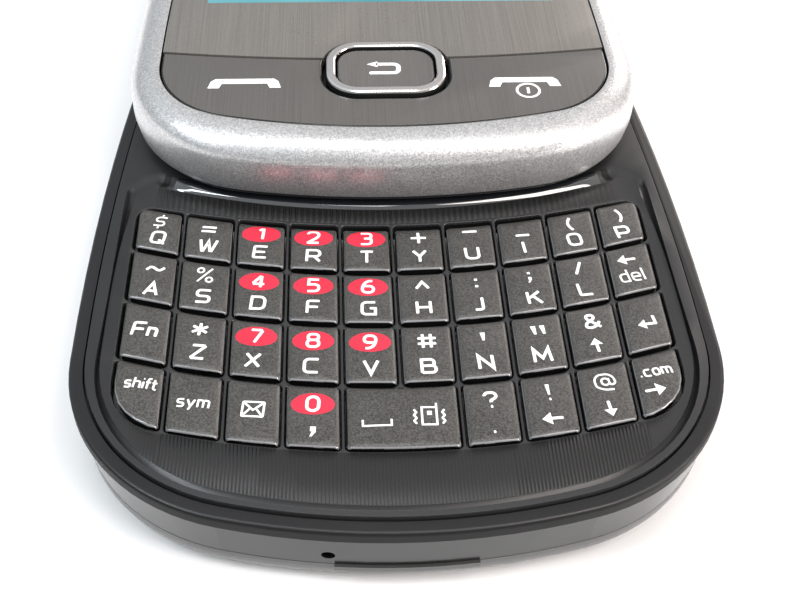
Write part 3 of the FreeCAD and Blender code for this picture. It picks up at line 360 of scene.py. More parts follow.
def makeFlakes():
    # metallic flakes: a random brightness and a random tilt for each
    scale, tilt = 10000.0, 0.12
    group, _, wanted, place = startEffect("flakes", {}, "Normal", "NodeSocketVector")
    flake = addNode(group, "ShaderNodeTexVoronoi", {"feature": "F1"}, {"Vector": place, "Scale": scale})
    colour = flake.outputs["Color"]
    centred = vectorOf(group, "SUBTRACT", {0: colour, 1: (0.5, 0.5, 0.5)})
    tilted = vectorOf(group, "SCALE", {0: centred, "Scale": tilt})
    surface = addNode(group, "ShaderNodeNewGeometry").outputs["Normal"]
    summed = vectorOf(group, "ADD", {0: surface, 1: tilted})
    brightness = addNode(group, "ShaderNodeSeparateXYZ", inputs={0: colour}).outputs["X"]
    group.links.new(brightness, wanted["Mask"])
    group.links.new(vectorOf(group, "NORMALIZE", {0: summed}), wanted["Normal"])
    return group


def makeHairlines():
    # brushed lines along Y with a little speckle, and the lines' height
    scales, speckleScale, speckleShare = (9000.0, 60.0, 60.0), 8000.0, 0.35
    group, _, wanted, place = startEffect("hairlines", {}, "Height", "NodeSocketFloat")
    lines = noiseOf(group, vectorOf(group, "MULTIPLY", {0: place, 1: scales}), 1.0, 1.0, 0.8)
    speckle = noiseOf(group, place, speckleScale, 1.0)
    group.links.new(mixOf(group, "FLOAT", speckleShare, lines, speckle), wanted["Mask"])
    group.links.new(lines, wanted["Height"])
    return group


grainEffect = makeGrain()
flakeEffect = makeFlakes()
hairlineEffect = makeHairlines()


def useEffect(tree, effect, inputs=None):
    return addNode(tree, "ShaderNodeGroup", {"node_tree": effect}, inputs).outputs


# ---- materials
def newMaterial(name, constants):
    # a material with its plain values set on the shader itself
    material = bpy.data.materials.new(name)
    material.use_nodes = True
    tree = material.node_tree
    shader = tree.nodes["Principled BSDF"].inputs
    for socket, value in constants.items():
        shader[socket].default_value = value
    return material, tree, shader


def addBump(tree, shader, height, strength, distance):
    bump = addNode(tree, "ShaderNodeBump", inputs={
        "Height": height, "Strength": strength, "Distance": distance})
    tree.links.new(bump.outputs[0], shader["Normal"])


def applyEffect(tree, shader, effect, settings):
    # colour, roughness and bump, all from one effect
    mask = effect["Mask"]
    colour = rampOf(tree, mask, settings["dark"], settings["light"], settings.get("span", maskSpan))
    tree.links.new(colour, shader["Base Color"])
    tree.links.new(rangeOf(tree, mask, maskSpan, settings["roughness"]), shader["Roughness"])
    addBump(tree, shader, effect["Height"], settings["bump"], settings["depth"])


usualPlastic = {"specular": 0.5, "coat": 0.0, "coatRoughness": 0.2, "coatIor": 1.5, "scale": 5000.0,
                "patch": 150.0, "patchShare": 0.4, "bump": 0.2, "depth": 0.00003}
usualMetal = {"metallic": 1.0, "brushed": True, "scale": 6000.0, "bump": 0.1, "depth": 0.00002}


def plasticMaterial(name, dark, light, roughness, **changes):
    # moulded plastic: its darkest and lightest colour, its range of roughness, and what isn't usual
    settings = dict(usualPlastic, dark=dark, light=light, roughness=roughness, **changes)
    material, tree, shader = newMaterial(name, {
        "IOR": 1.5, "Specular IOR Level": settings["specular"], "Coat Weight": settings["coat"],
        "Coat Roughness": settings["coatRoughness"], "Coat IOR": settings["coatIor"]})
    grain = useEffect(tree, grainEffect, {
        "Scale": settings["scale"], "Patch Scale": settings["patch"], "Patch Share": settings["patchShare"]})
    applyEffect(tree, shader, grain, settings)
    return material


def metalMaterial(name, dark, light, roughness, **changes):
    # metal, brushed or with a fine grain
    settings = dict(usualMetal, dark=dark, light=light, roughness=roughness, **changes)
    material, tree, shader = newMaterial(name, {"Metallic": settings["metallic"]})
    if settings["brushed"]:
        effect = useEffect(tree, hairlineEffect)
    else:
        effect = useEffect(tree, grainEffect, {"Scale": settings["scale"]})
    applyEffect(tree, shader, effect, settings)
    return material


def silverMaterial():
    # silver paint: flakes under a thin coat, slightly uneven in its gloss
    darkFlake, lightFlake, roughness = (0.37, 0.37, 0.375), (0.66, 0.66, 0.665), (0.30, 0.38)
    material, tree, shader = newMaterial("silver_paint", {
        "Metallic": 0.68, "Coat Weight": 0.3, "Coat Roughness": 0.12, "Specular IOR Level": 0.5})
    flakes = useEffect(tree, flakeEffect)
    grain = useEffect(tree, grainEffect, {"Scale": 2500.0})
    tree.links.new(rampOf(tree, flakes["Mask"], darkFlake, lightFlake, (0, 1)), shader["Base Color"])
    tree.links.new(rangeOf(tree, grain["Mask"], maskSpan, roughness), shader["Roughness"])
    tree.links.new(flakes["Normal"], shader["Normal"])
    return material


windowLook = {
    "panelEdge": 1.3,  # round the panel's lit area
    "layer": ((0.140, 0.130, 0.118), (0.215, 0.201, 0.184)), "roughness": (0.26, 0.36),
    "bump": 0.15, "depth": 0.00002, "panel": (0.01, 0.02, 0.025, 1), "unlit": (0, 0, 0, 1),
    "picture": ((0.02, 0.30, 0.38), (0.35, 0.75, 0.80), (0.35, 0.65)), "pictureScale": 45.0}


def windowMaterial():
    # brushed metallic layer under clear plastic, with the lit panel's area glowing through
    low, high = nodeBox("display_module")
    edge = windowLook["panelEdge"]
    material, tree, shader = newMaterial("window_layer", {
        "Metallic": 0.35, "Coat Weight": 0.6, "Coat Roughness": 0.08, "Emission Strength": 1.0})
    lines = useEffect(tree, hairlineEffect)
    grain = useEffect(tree, grainEffect, {"Scale": 4000.0})
    place, axes = placeOf(tree)
    inside = []
    for axis, first, last in (("X", low.x + edge, high.x - edge), ("Y", low.y + edge, high.y - edge)):
        away = mathOf(tree, "SUBTRACT", axes[axis], (first + last) / 2 * millimetre)
        distance = mathOf(tree, "ABSOLUTE", away)
        inside.append(mathOf(tree, "LESS_THAN", distance, (last - first) / 2 * millimetre))
    lit = mathOf(tree, "MULTIPLY", *inside)
    layer = rampOf(tree, lines["Mask"], *windowLook["layer"])
    picture = rampOf(tree, noiseOf(tree, place, windowLook["pictureScale"], 1.0), *windowLook["picture"])
    base = mixOf(tree, "RGBA", lit, layer, windowLook["panel"])
    glow = mixOf(tree, "RGBA", lit, windowLook["unlit"], picture)
    tree.links.new(base, shader["Base Color"])
    tree.links.new(glow, shader["Emission Color"])
    tree.links.new(rangeOf(tree, grain["Mask"], maskSpan, windowLook["roughness"]), shader["Roughness"])
    addBump(tree, shader, lines["Height"], windowLook["bump"], windowLook["depth"])
    return material


def ribMaterial(name, settings):
    # ribbed plastic: painted shade in the valleys between the ribs and a painted highlight on their crests,
    # mixed with grain
    material, tree, shader = newMaterial(name, {"Specular IOR Level": 0.4, "Roughness": 0.4})
    grain = useEffect(tree, grainEffect, {"Scale": 6000.0})
    across = placeOf(tree)[1]["X"]
    phase = mathOf(tree, "MULTIPLY", across, 2 * math.pi / (settings["pitch"] * millimetre))
    paintedCrestLight = rangeOf(tree, mathOf(tree, "COSINE", phase), (-1.0, 1.0), (1.0, 0.0))
    mask = mixOf(tree, "FLOAT", settings["share"], paintedCrestLight, grain["Mask"])
    colour = rampOf(tree, mask, (settings["dark"],) * 3, (settings["light"],) * 3)
    tree.links.new(colour, shader["Base Color"])
    addBump(tree, shader, grain["Height"], usualPlastic["bump"], usualPlastic["depth"])
    return material


silverPaint = silverMaterial()
windowLayer = windowMaterial()
keyPlateMetal = metalMaterial(
    "key_plate_metal", (0.110, 0.104, 0.099), (0.145, 0.138, 0.131), (0.3, 0.4), metallic=0.4)
backKeyMetal = metalMaterial(
    "back_key_metal", (0.115, 0.11, 0.105), (0.175, 0.165, 0.158), (0.3, 0.4), metallic=0.4)
brightMetal = metalMaterial(
    "bright_metal", (0.66, 0.64, 0.63), (0.76, 0.74, 0.73), (0.14, 0.22), brushed=False, bump=0.03)
satinMetal = metalMaterial(
    "satin_metal", (0.60, 0.58, 0.575), (0.68, 0.66, 0.655), (0.30, 0.38), brushed=False, bump=0.08)
# near-black metal for the ring's walls and the key plate's edge: a painted dark reflection
paintedDarkReflection = metalMaterial(
    "painted_dark_reflection", (0.010, 0.011, 0.011), (0.022, 0.024, 0.023), (0.10, 0.16), brushed=False, metallic=0.3,
    bump=0.02)
steelMetal = metalMaterial("brushed_steel", (0.42, 0.42, 0.41), (0.60, 0.60, 0.59), (0.22, 0.36))
keyPlastic = plasticMaterial(
    "key_plastic", (0.022, 0.021, 0.020), (0.080, 0.077, 0.071), (0.36, 0.54), span=(0.4, 0.6),
    scale=6500.0, patch=400.0, patchShare=0.1, bump=0.35, coat=0.15, coatRoughness=0.2)
# lighter glossy plastic on the keys' rolled edges and near corners: a painted highlight line
paintedHighlightEdge = plasticMaterial(
    "painted_highlight_edge", (0.17, 0.17, 0.178), (0.23, 0.23, 0.24), (0.16, 0.24), coat=1.0, coatRoughness=0.08,
    bump=0.05)
# near-black plastic for key walls, opening shafts, pits and the rim's outer wall: painted shade
paintedShadeBlack = plasticMaterial(
    "painted_shade_black", (0.004, 0.004, 0.004), (0.008, 0.008, 0.008), (0.5, 0.6), specular=0.2, bump=0.05)
deckPlastic = plasticMaterial(
    "deck_plastic", (0.0125, 0.013, 0.0138), (0.020, 0.0205, 0.0215), (0.44, 0.54), specular=0.4,
    scale=6000.0, bump=0.25)
facetPlastic = plasticMaterial(
    "facet_plastic", (0.010, 0.010, 0.011), (0.015, 0.015, 0.016), (0.26, 0.34), specular=0.4, scale=6000.0,
    bump=0.04)
webPlastic = plasticMaterial(
    "web_plastic", (0.020, 0.020, 0.021), (0.032, 0.032, 0.033), (0.24, 0.32), scale=6000.0, bump=0.1)
glossPlastic = plasticMaterial(
    "gloss_plastic", (0.008, 0.009, 0.011), (0.014, 0.016, 0.019), (0.05, 0.08), bump=0.02, coat=1.0,
    coatRoughness=0.03, coatIor=1.9)
rimPlastic = plasticMaterial(
    "rim_plastic", (0.007, 0.007, 0.008), (0.012, 0.012, 0.013), (0.32, 0.40), specular=0.4, scale=6000.0,
    bump=0.06)
casePlastic = plasticMaterial(
    "case_plastic", (0.007, 0.007, 0.007), (0.011, 0.011, 0.0105), (0.18, 0.22), specular=0.36,
    scale=5000.0, bump=0.03)
coverPlastic = plasticMaterial(
    "cover_plastic", (0.040, 0.040, 0.040), (0.058, 0.058, 0.057), (0.36, 0.46), scale=4500.0, bump=0.3,
    depth=0.00004, coat=0.3)
shellPlastic = plasticMaterial(
    "shell_plastic", (0.016, 0.017, 0.018), (0.027, 0.028, 0.029), (0.36, 0.46), scale=6000.0, bump=0.2)
sideKeyPlastic = plasticMaterial(
    "side_key_plastic", (0.10, 0.10, 0.10), (0.15, 0.15, 0.148), (0.30, 0.40), bump=0.15)
rubberSheet = plasticMaterial("rubber_sheet", (0.20, 0.20, 0.19), (0.27, 0.27, 0.26), (0.55, 0.7), bump=0.3)
boardLacquer = plasticMaterial(
    "board_lacquer", (0.010, 0.075, 0.030), (0.020, 0.13, 0.055), (0.25, 0.4), patch=900.0)
cellWrap = plasticMaterial("cell_wrap", (0.045, 0.050, 0.060), (0.065, 0.070, 0.080), (0.3, 0.45))
panelGlass = plasticMaterial("panel_glass", (0.010, 0.020, 0.026), (0.020, 0.035, 0.042), (0.05, 0.1))
meshMetal = metalMaterial("mesh_metal", (0.15, 0.15, 0.15), (0.30, 0.30, 0.30), (0.35, 0.5), brushed=False)
legendWhite = plasticMaterial(
    "legend_white", (0.80, 0.80, 0.80), (0.90, 0.90, 0.90), (0.4, 0.55), bump=0.05)
legendRed = plasticMaterial(
    "legend_red", (0.56, 0.014, 0.040), (0.66, 0.022, 0.055), (0.4, 0.55), bump=0.05)
print("materials made")


# ---- keyboard plan
keyboard = {"lowestEdge": 7.7, "rowHeights": (6.91, 6.91, 6.55, 6.02), "rowRadius": 75.0, "gap": 0.7,
            "largeCorner": 5.5, "smallCorner": 1.6, "outerTrim": 0.65, "sideMargin": 4.3,
            "stepsPerColumn": 6, "deck": 8.0}
keyRows = [
    [("shift", 1), ("sym", 1), ("mail", 1), ("comma", 1), ("space", 2), ("period", 1), ("left", 1),
     ("down", 1), ("right", 1)],
    [(name, 1) for name in ("fn", "z", "x", "c", "v", "b", "n", "m", "up", "enter")],
    [(name, 1) for name in ("a", "s", "d", "f", "g", "h", "j", "k", "l", "delete")],
    [(name, 1) for name in "qwertyuiop"]]
columns = 10
keyHalf = basePlan["half"] - keyboard["sideMargin"]
keyPitch = (keyHalf + keyboard["outerTrim"]) / (columns / 2)
halfGap = keyboard["gap"] / 2
blockHalf = keyHalf + halfGap
rowEdges = [sum(keyboard["rowHeights"][:row]) for row in range(len(keyRows) + 1)]
boardY = basePlan["end"] + keyboard["lowestEdge"]


def sag(x, radius):
    return radius - math.sqrt(radius ** 2 - x ** 2)


def columnX(boundary):
    if boundary in (0, columns):
        return blockHalf if boundary else -blockHalf
    return (boundary - columns // 2) * keyPitch


def rowY(row, x):
    # Y of a row's lower boundary; one past the last row is the top of the block
    return boardY + rowEdges[row] + sag(x, keyboard["rowRadius"])


largeRadius = keyboard["largeCorner"] + halfGap
largeX = keyHalf - keyboard["largeCorner"]
largeY = rowY(0, largeX) + halfGap + keyboard["largeCorner"]


def largeCornerPoint(share, outward):
    # along the round outer bottom corner, from its outermost point to the next column
    inner = math.acos((columnX(columns - 1) - largeX) / largeRadius)
    easing = 3  # the arc meets the row's edge only near its end
    angle = share * inner
    x = largeX + largeRadius * math.cos(angle)
    y = largeY - largeRadius * math.sin(angle)
    end = rowY(0, columnX(columns - 1))
    y += (end - (largeY - largeRadius * math.sin(inner))) * share ** easing
    return Vector((outward * x, y, keyboard["deck"]))


def lowLimit(x):
    # lower edge of the key block at this X
    if abs(x) <= columnX(columns - 1):
        return rowY(0, x)
    reach = min(abs(x) - largeX, largeRadius)
    return largeY - math.sqrt(max(largeRadius ** 2 - reach ** 2, 0))


def cornerVerts(face):
    cornerAngle = math.radians(30)
    found = []
    for loop in face.loops:
        before = (loop.vert.co - loop.link_loop_prev.vert.co).normalized()
        after = (loop.link_loop_next.vert.co - loop.vert.co).normalized()
        if before.angle(after) > cornerAngle:
            found.append(loop.vert)
    return found


def roundCorners(bm, faces, corners, radius, segments):
    # clears the vertices close to each corner, then rounds the corners
    cleared = radius * 1.15
    near = {vert for face in faces for vert in face.verts if vert not in corners
            and any((vert.co - corner.co).length < cleared for corner in corners)}
    bmesh.ops.dissolve_verts(bm, verts=list(near))
    bmesh.ops.bevel(bm, geom=corners, offset=radius, offset_type="OFFSET", segments=segments,
                    profile=0.5, affect="VERTICES", material=-1)


def buildCells():
    # one flat face for each key and half of the gap round it
    steps = keyboard["stepsPerColumn"]
    bm = bmesh.new()
    bmesh.ops.create_grid(bm, x_segments=columns * steps, y_segments=len(keyRows), size=1)
    keyOf = bm.faces.layers.int.new("key")
    names = []
    groups = []
    for row, keys in enumerate(keyRows):
        first = 0
        for name, wide in keys:
            group = []
            for face in bm.faces:
                centre = face.calc_center_median()
                column = int((centre.x + 1) / 2 * columns)
                level = int((centre.y + 1) / 2 * len(keyRows))
                if level == row and first <= column < first + wide:
                    face[keyOf] = len(names)
                    group.append(face)
            groups.append(group)
            names.append((name, row, first, wide))
            first += wide
    for vert in bm.verts:
        across = round((vert.co.x + 1) / 2 * columns * steps)
        row = round((vert.co.y + 1) / 2 * len(keyRows))
        column = min(across // steps, columns - 1)
        share = across / steps - column
        x = columnX(column) + (columnX(column + 1) - columnX(column)) * share
        vert.co = (x, rowY(row, x), keyboard["deck"])
        if row == 0 and across <= steps:
            vert.co = largeCornerPoint(across / steps, -1)
        if row == 0 and across >= (columns - 1) * steps:
            vert.co = largeCornerPoint((columns * steps - across) / steps, 1)
    for index, group in enumerate(groups):
        made = bmesh.ops.dissolve_faces(bm, faces=group, use_verts=False)["region"]
        for face in made:
            face[keyOf] = index
    topRow = len(keyRows) - 1
    onSide = 1e-3
    corners = [vert for vert in bm.verts if len(vert.link_edges) == 2
               and abs(abs(vert.co.x) - blockHalf) < onSide and vert.co.y > rowY(topRow, blockHalf) + 1]
    roundCorners(bm, [face for corner in corners for face in corner.link_faces], corners,
                 keyboard["smallCorner"] + halfGap, 8)
    return bm, names


cells, keyNames = buildCells()
print("cells", len(cells.faces), "keys", len(keyNames))

# ---- keypad plate
plate = {
    "bottom": 7.2, "deck": 8.0, "band": 8.3, "outer": 1.4, "bevel": 0.1,
    "lipRadius": 66.0, "lipGap": 2.9, "lipWidth": 1.6, "lipEnd": 20.9, "lipSteps": 24,
    "openTop": 27.15, "openRadius": 84.0,               # edge of the opening beyond the top row
    "sideRoom": 0.22, "sideFrom": 19.0, "sideTo": 23.5,  # and beside the outer keys
    "sideTop": 33.4,  # end of the side facets, above the level of the lowest key edge
    "facetRunOut": 1.6, "facetFrom": -2.0, "waistAt": 19.0, "highEasing": 1.5,
    "facetLow": (1.9, 2.6), "facetWaist": (2.50, 2.62), "facetHigh": (2.23, 3.2),
    "pitFrom": 1.9, "pitStations": (0.5, 0.85, 1.2), "pitWidth": 1.6,
    "cornerWidth": 1.5, "cornerRise": 0.4, "cornerSteps": 8,
    "webHalf": 0.08, "webRim": ((0.03, -0.02), (0.025, -0.06), (0.03, -0.15)), "webDip": 0.28,
    "openingCorner": 0.42, "recessHalf": 17.15, "recessMargin": 0.15, "recessFloor": 7.7}
lipY = boardY + rowEdges[-1] + plate["lipGap"]


def facetInsets(up):
    # outer and inner inset of the sloped facet, at this height above the lowest key edge
    def blend(first, second, share):
        share = within(share)
        eased = share * share * (3 - 2 * share)
        return first + (second - first) * eased
    waistAt = plate["waistAt"]
    if up < waistAt:
        share = (up - plate["facetFrom"]) / (waistAt - plate["facetFrom"])
        return [blend(low, waist, share) for low, waist in zip(plate["facetLow"], plate["facetWaist"])]
    share = ((up - waistAt) / (plate["sideTop"] - waistAt)) ** plate["highEasing"]
    return [blend(waist, high, share) for waist, high in zip(plate["facetWaist"], plate["facetHigh"])]


# across the pocket's edge: share of the way from the deck to the band, and height above the deck
profiles = {
    "facet": ((0.0, 0.0), (0.05, 0.035), (0.14, -0.01), (0.5, -0.14), (0.8, -0.22), (0.92, 0.2),
              (0.96, 0.31), (1.0, 0.3)),
    "lip": ((0.0, 0.0), (0.06, 0.10), (0.19, 0.235), (0.34, 0.345), (0.5, 0.415), (0.68, 0.44),
            (0.86, 0.39), (1.0, 0.3)),
    "pit": ((0.0, 0.0), (0.12, 0.06), (0.22, -0.05), (0.4, -0.12), (0.6, -0.12), (0.76, 0.08),
            (0.9, 0.26), (1.0, 0.3)),
    "ramp": ((0.0, 0.0), (0.12, 0.02), (0.26, 0.06), (0.42, 0.12), (0.58, 0.19), (0.74, 0.25),
             (0.88, 0.285), (1.0, 0.3))}


def profileOf(kind, depth):
    # a facet runs out into a ramp as its depth goes to none
    if kind != "facet":
        return profiles[kind]
    return [(flat[0] + (deep[0] - flat[0]) * depth, flat[1] + (deep[1] - flat[1]) * depth)
            for flat, deep in zip(profiles["ramp"], profiles["facet"])]


def onLip(x, back=0.0):
    # a point of the curved step above the keys, this far behind its edge
    angle = math.asin(x / plate["lipRadius"])
    radius = plate["lipRadius"] - back
    return Vector((radius * math.sin(angle), lipY + plate["lipRadius"] - radius * math.cos(angle), 0))


def sideStations():
    # deck edge, band edge, profile and its depth up the right side
    points = baseOutline["points"]
    stations = []
    for point, normal in list(zip(points, baseOutline["normals"]))[:len(points) // 2]:
        up = point.y - boardY
        if up > plate["sideTop"]:
            break
        outer, inner = facetInsets(up)
        depth = math.sqrt(within((plate["sideTop"] - up) / plate["facetRunOut"]))
        stations.append((point - normal * inner, point - normal * outer, "facet", depth))
    return stations


def cornerStations(deckTop, bandTop):
    # rounded corner between the side and the step, then the pit at the step's end
    pitX = plate["lipEnd"] + plate["pitFrom"]
    deckEnd, bandEnd = onLip(pitX), onLip(pitX, plate["cornerWidth"])
    bandLevel = bandEnd.y + plate["cornerRise"]
    stations = []
    for step in range(1, plate["cornerSteps"] + 1):
        turn = math.pi / 2 * step / plate["cornerSteps"]
        deckAt = Vector((deckEnd.x + (deckTop.x - deckEnd.x) * math.cos(turn),
                         deckTop.y + (deckEnd.y - deckTop.y) * math.sin(turn), 0))
        bandAt = Vector((bandEnd.x + (bandTop.x - bandEnd.x) * math.cos(turn),
                         bandTop.y + (bandLevel - bandTop.y) * math.sin(turn), 0))
        stations.append((deckAt, bandAt, "ramp", 0))
    return stations + [(onLip(pitX - aside), onLip(pitX - aside, plate["pitWidth"]), "pit", 0)
                       for aside in plate["pitStations"]]


def pocketStations():
    # all round the pocket but its lower end: right side, corner, step, left corner, left side
    side = sideStations()
    right = side + cornerStations(*side[-1][:2])
    lipXs = [plate["lipEnd"] * (1 - 2 * step / plate["lipSteps"]) for step in range(plate["lipSteps"] + 1)]
    lip = [(onLip(x), onLip(x, plate["lipWidth"]), "lip", 0) for x in lipXs]
    left = [(mirrored @ deck, mirrored @ band, *rest) for deck, band, *rest in reversed(right[1:])]
    return right + lip + left


def addRecess(bm):
    # blind recess for the runner plate
    low, high = nodeBox("slide_runner")
    half = plate["recessHalf"]
    near, far = low.y - plate["recessMargin"], high.y + plate["recessMargin"]
    corners = ((half, near), (half, far), (-half, far), (-half, near))
    ring = firstRing(bm, [Vector((x, y, plate["band"])) for x, y in corners])
    bm.faces.new(extrudeRing(bm, ring, [Vector((x, y, plate["recessFloor"])) for x, y in corners]))


def openEdgesOf(verts):
    return [edge for edge in {edge for vert in verts for edge in vert.link_edges} if edge.is_boundary]


def ribSheet(bm, lowAt, highAt, settings, material):
    # a row of low upright ribs between two limits, closed below
    count = int(settings["half"] / settings["pitch"]) * 4
    made = bmesh.ops.create_grid(bm, x_segments=count, y_segments=3, size=1)["verts"]
    for vert in made:
        column = round((vert.co.x + 1) / 2 * count)
        row = round((vert.co.y + 1) / 2 * 3)
        x = (column - count / 2) * settings["pitch"] / 2
        low = lowAt(x) + settings["margin"]
        high = highAt(x) - settings["margin"]
        y = (low, low + settings["taper"], high - settings["taper"], high)[row]
        raised = column % 2 and row in (1, 2)
        fade = within((settings["half"] - abs(x)) / settings["fade"])
        vert.co = (x, y, plate["deck"] + (settings["height"] * fade if raised else -settings["sunk"]))
    for face in {face for vert in made for face in vert.link_faces}:
        face.material_index = material
    skirt = bmesh.ops.extrude_edge_only(bm, edges=openEdgesOf(made))["geom"]
    for vert in vertsIn(skirt):
        vert.co.z = plate["deck"] - settings["foot"]
    bmesh.ops.triangle_fill(bm, use_beauty=True, use_dissolve=False, edges=openEdgesOf(vertsIn(skirt)),
                            normal=(0, 0, 1))


# dark and light of the ribs: painted shade in the valleys and a painted highlight on the crests
upperRibs = {"pitch": 0.56, "half": 22.9, "height": 0.09, "sunk": 0.012, "foot": 0.2, "margin": 0.05,
             "taper": 0.09, "fade": 2.2, "share": 0.66, "dark": 0.001, "light": 0.020, "from": 0.1}
lowerRibs = {"pitch": 0.30, "half": 22.5, "height": 0.05, "sunk": 0.01, "foot": 0.2, "margin": 0.02,
             "taper": 0.04, "fade": 3.0, "share": 0.6, "dark": 0.006, "light": 0.018}


def deckLoopY(stations, x):
    # Y of the pocket's lower inner edge at this X
    lowerPart = boardY + 10
    edge = [station[0] for station in stations if station[2] == "facet" and station[0].y < lowerPart]
    edge.sort(key=lambda point: point.x)
    for first, second in zip(edge, edge[1:]):
        if first.x <= x <= second.x and second.x > first.x:
            share = (x - first.x) / (second.x - first.x)
            return first.y + (second.y - first.y) * share
    return edge[0].y


# the wall finish is near black: painted shade on the opening shafts and in the pits
plateFinish = {"band": 0, "web": 1, "lip": 2, "facet": 3, "lowerRibs": 4, "upperRibs": 5, "wall": 6}


def openingTop(x):
    # how far the top row's openings reach at this X, from the lowest key edge
    return plate["openTop"] + sag(x, plate["openRadius"])


def spreadCells(bm):
    # more room beyond the top row and beside the outer keys; the webs between rows sink
    topReach = keyboard["smallCorner"] + halfGap
    for vert in bm.verts:
        x = vert.co.x
        spare = openingTop(x) - rowEdges[-1] - sag(x, keyboard["rowRadius"])
        vert.co.y += spare * within((vert.co.y - rowY(len(keyRows), x)) / topReach + 1)
        if any(edge.is_boundary for edge in vert.link_edges):
            aside = (abs(x) - plate["sideFrom"]) / (plate["sideTo"] - plate["sideFrom"])
            vert.co.x += math.copysign(plate["sideRoom"] * within(aside), x)
        elif len(vert.link_edges) == 2:
            vert.co.z -= plate["webDip"]


def cutOpenings(bm):
    # in each cell an opening with a rounded rim and a shaft whose walls are painted near black, a painted
    # shade
    isOpening = bm.faces.layers.int.new("opening")
    openings = list(bm.faces)
    bmesh.ops.inset_individual(bm, faces=openings, thickness=plate["webHalf"], depth=0, use_even_offset=True)
    for face in openings:
        face[isOpening] = 1
    corners = [vert for face in openings for vert in cornerVerts(face)]
    roundCorners(bm, openings, corners, plate["openingCorner"], 4)
    openings = [face for face in bm.faces if face[isOpening] and len(face.verts) > 8]
    print("openings", len(openings))
    for thickness, depth in plate["webRim"]:
        bmesh.ops.inset_individual(bm, faces=openings, thickness=thickness, depth=depth, use_even_offset=True)
    shafts = bmesh.ops.extrude_discrete_faces(bm, faces=openings)["faces"]
    for face in shafts:
        for vert in face.verts:
            vert.co.z = plate["bottom"]
        for edge in face.edges:
            for wall in edge.link_faces:
                wall.material_index = plateFinish["wall"]
    bmesh.ops.delete(bm, geom=shafts, context="FACES_ONLY")


def pocketSkin(bm, stations):
    # the pocket's edge from the deck over each station's profile to the band
    steps = len(profiles["facet"])
    sections = [profileOf(*station[2:]) for station in stations]
    rings = [[Vector((*station[0].lerp(station[1], section[step][0]).xy, plate["deck"] + section[step][1]))
              for station, section in zip(stations, sections)] for step in range(steps)]
    deckRing = sweepRings(bm, rings, closed=False)
    # a pit takes the near-black wall finish, a painted shade
    finishOf = {("lip", "lip"): "lip", ("pit", "pit"): "wall", ("facet", "facet"): "facet"}
    for index, vert in enumerate(deckRing):
        after = (index + 1) % len(stations)
        finish = finishOf.get((stations[index][2], stations[after][2]), "band")
        edge = bm.edges.get((vert, deckRing[after]))
        face = edge.link_faces[0]
        for step in range(steps - 1):
            face.material_index = plateFinish[finish]
            edge = [other for other in face.edges if not set(other.verts) & set(edge.verts)][0]
            following = [other for other in edge.link_faces if other is not face]
            if following:
                face = following[0]


def keypadPlate():
    bm = cells.copy()
    for face in bm.faces:
        face.material_index = plateFinish["web"]
    spreadCells(bm)
    cutOpenings(bm)
    stations = pocketStations()
    pocketSkin(bm, stations)
    outer, bevel, band = plate["outer"], plate["bevel"], plate["band"]
    sweepRings(bm, ringsAt(baseOutline, (
        (outer + bevel, band), (outer + bevel * 0.3, band - bevel * 0.25), (outer, band - bevel),
        (outer, plate["bottom"]))), closed=False)
    addRecess(bm)
    for level in ("deck", "band", "bottom"):
        bmesh.ops.triangle_fill(bm, use_beauty=True, use_dissolve=False,
                                edges=boundaryAt(bm, plate[level]), normal=(0, 0, 1))
    bmesh.ops.remove_doubles(bm, verts=bm.verts, dist=mergeDistance)
    bmesh.ops.recalc_face_normals(bm, faces=bm.faces)
    print("plate open edges", sum(1 for edge in bm.edges if len(edge.link_faces) != 2))
    ribSheet(bm, lambda x: deckLoopY(stations, x), lowLimit, lowerRibs, plateFinish["lowerRibs"])
    ribSheet(bm, lambda x: boardY + openingTop(x) + upperRibs["from"],
             lambda x: lipY + sag(x, plate["lipRadius"]), upperRibs, plateFinish["upperRibs"])
    materials = [deckPlastic, webPlastic, glossPlastic, facetPlastic, ribMaterial("lower_ribs", lowerRibs),
                 ribMaterial("upper_ribs", upperRibs), paintedShadeBlack]
    finishPiece("keypad_plate", bm, materials, "base", ["keypad_bezel"], sharpAngle=40)


keypadPlate()
print("keypad plate made")

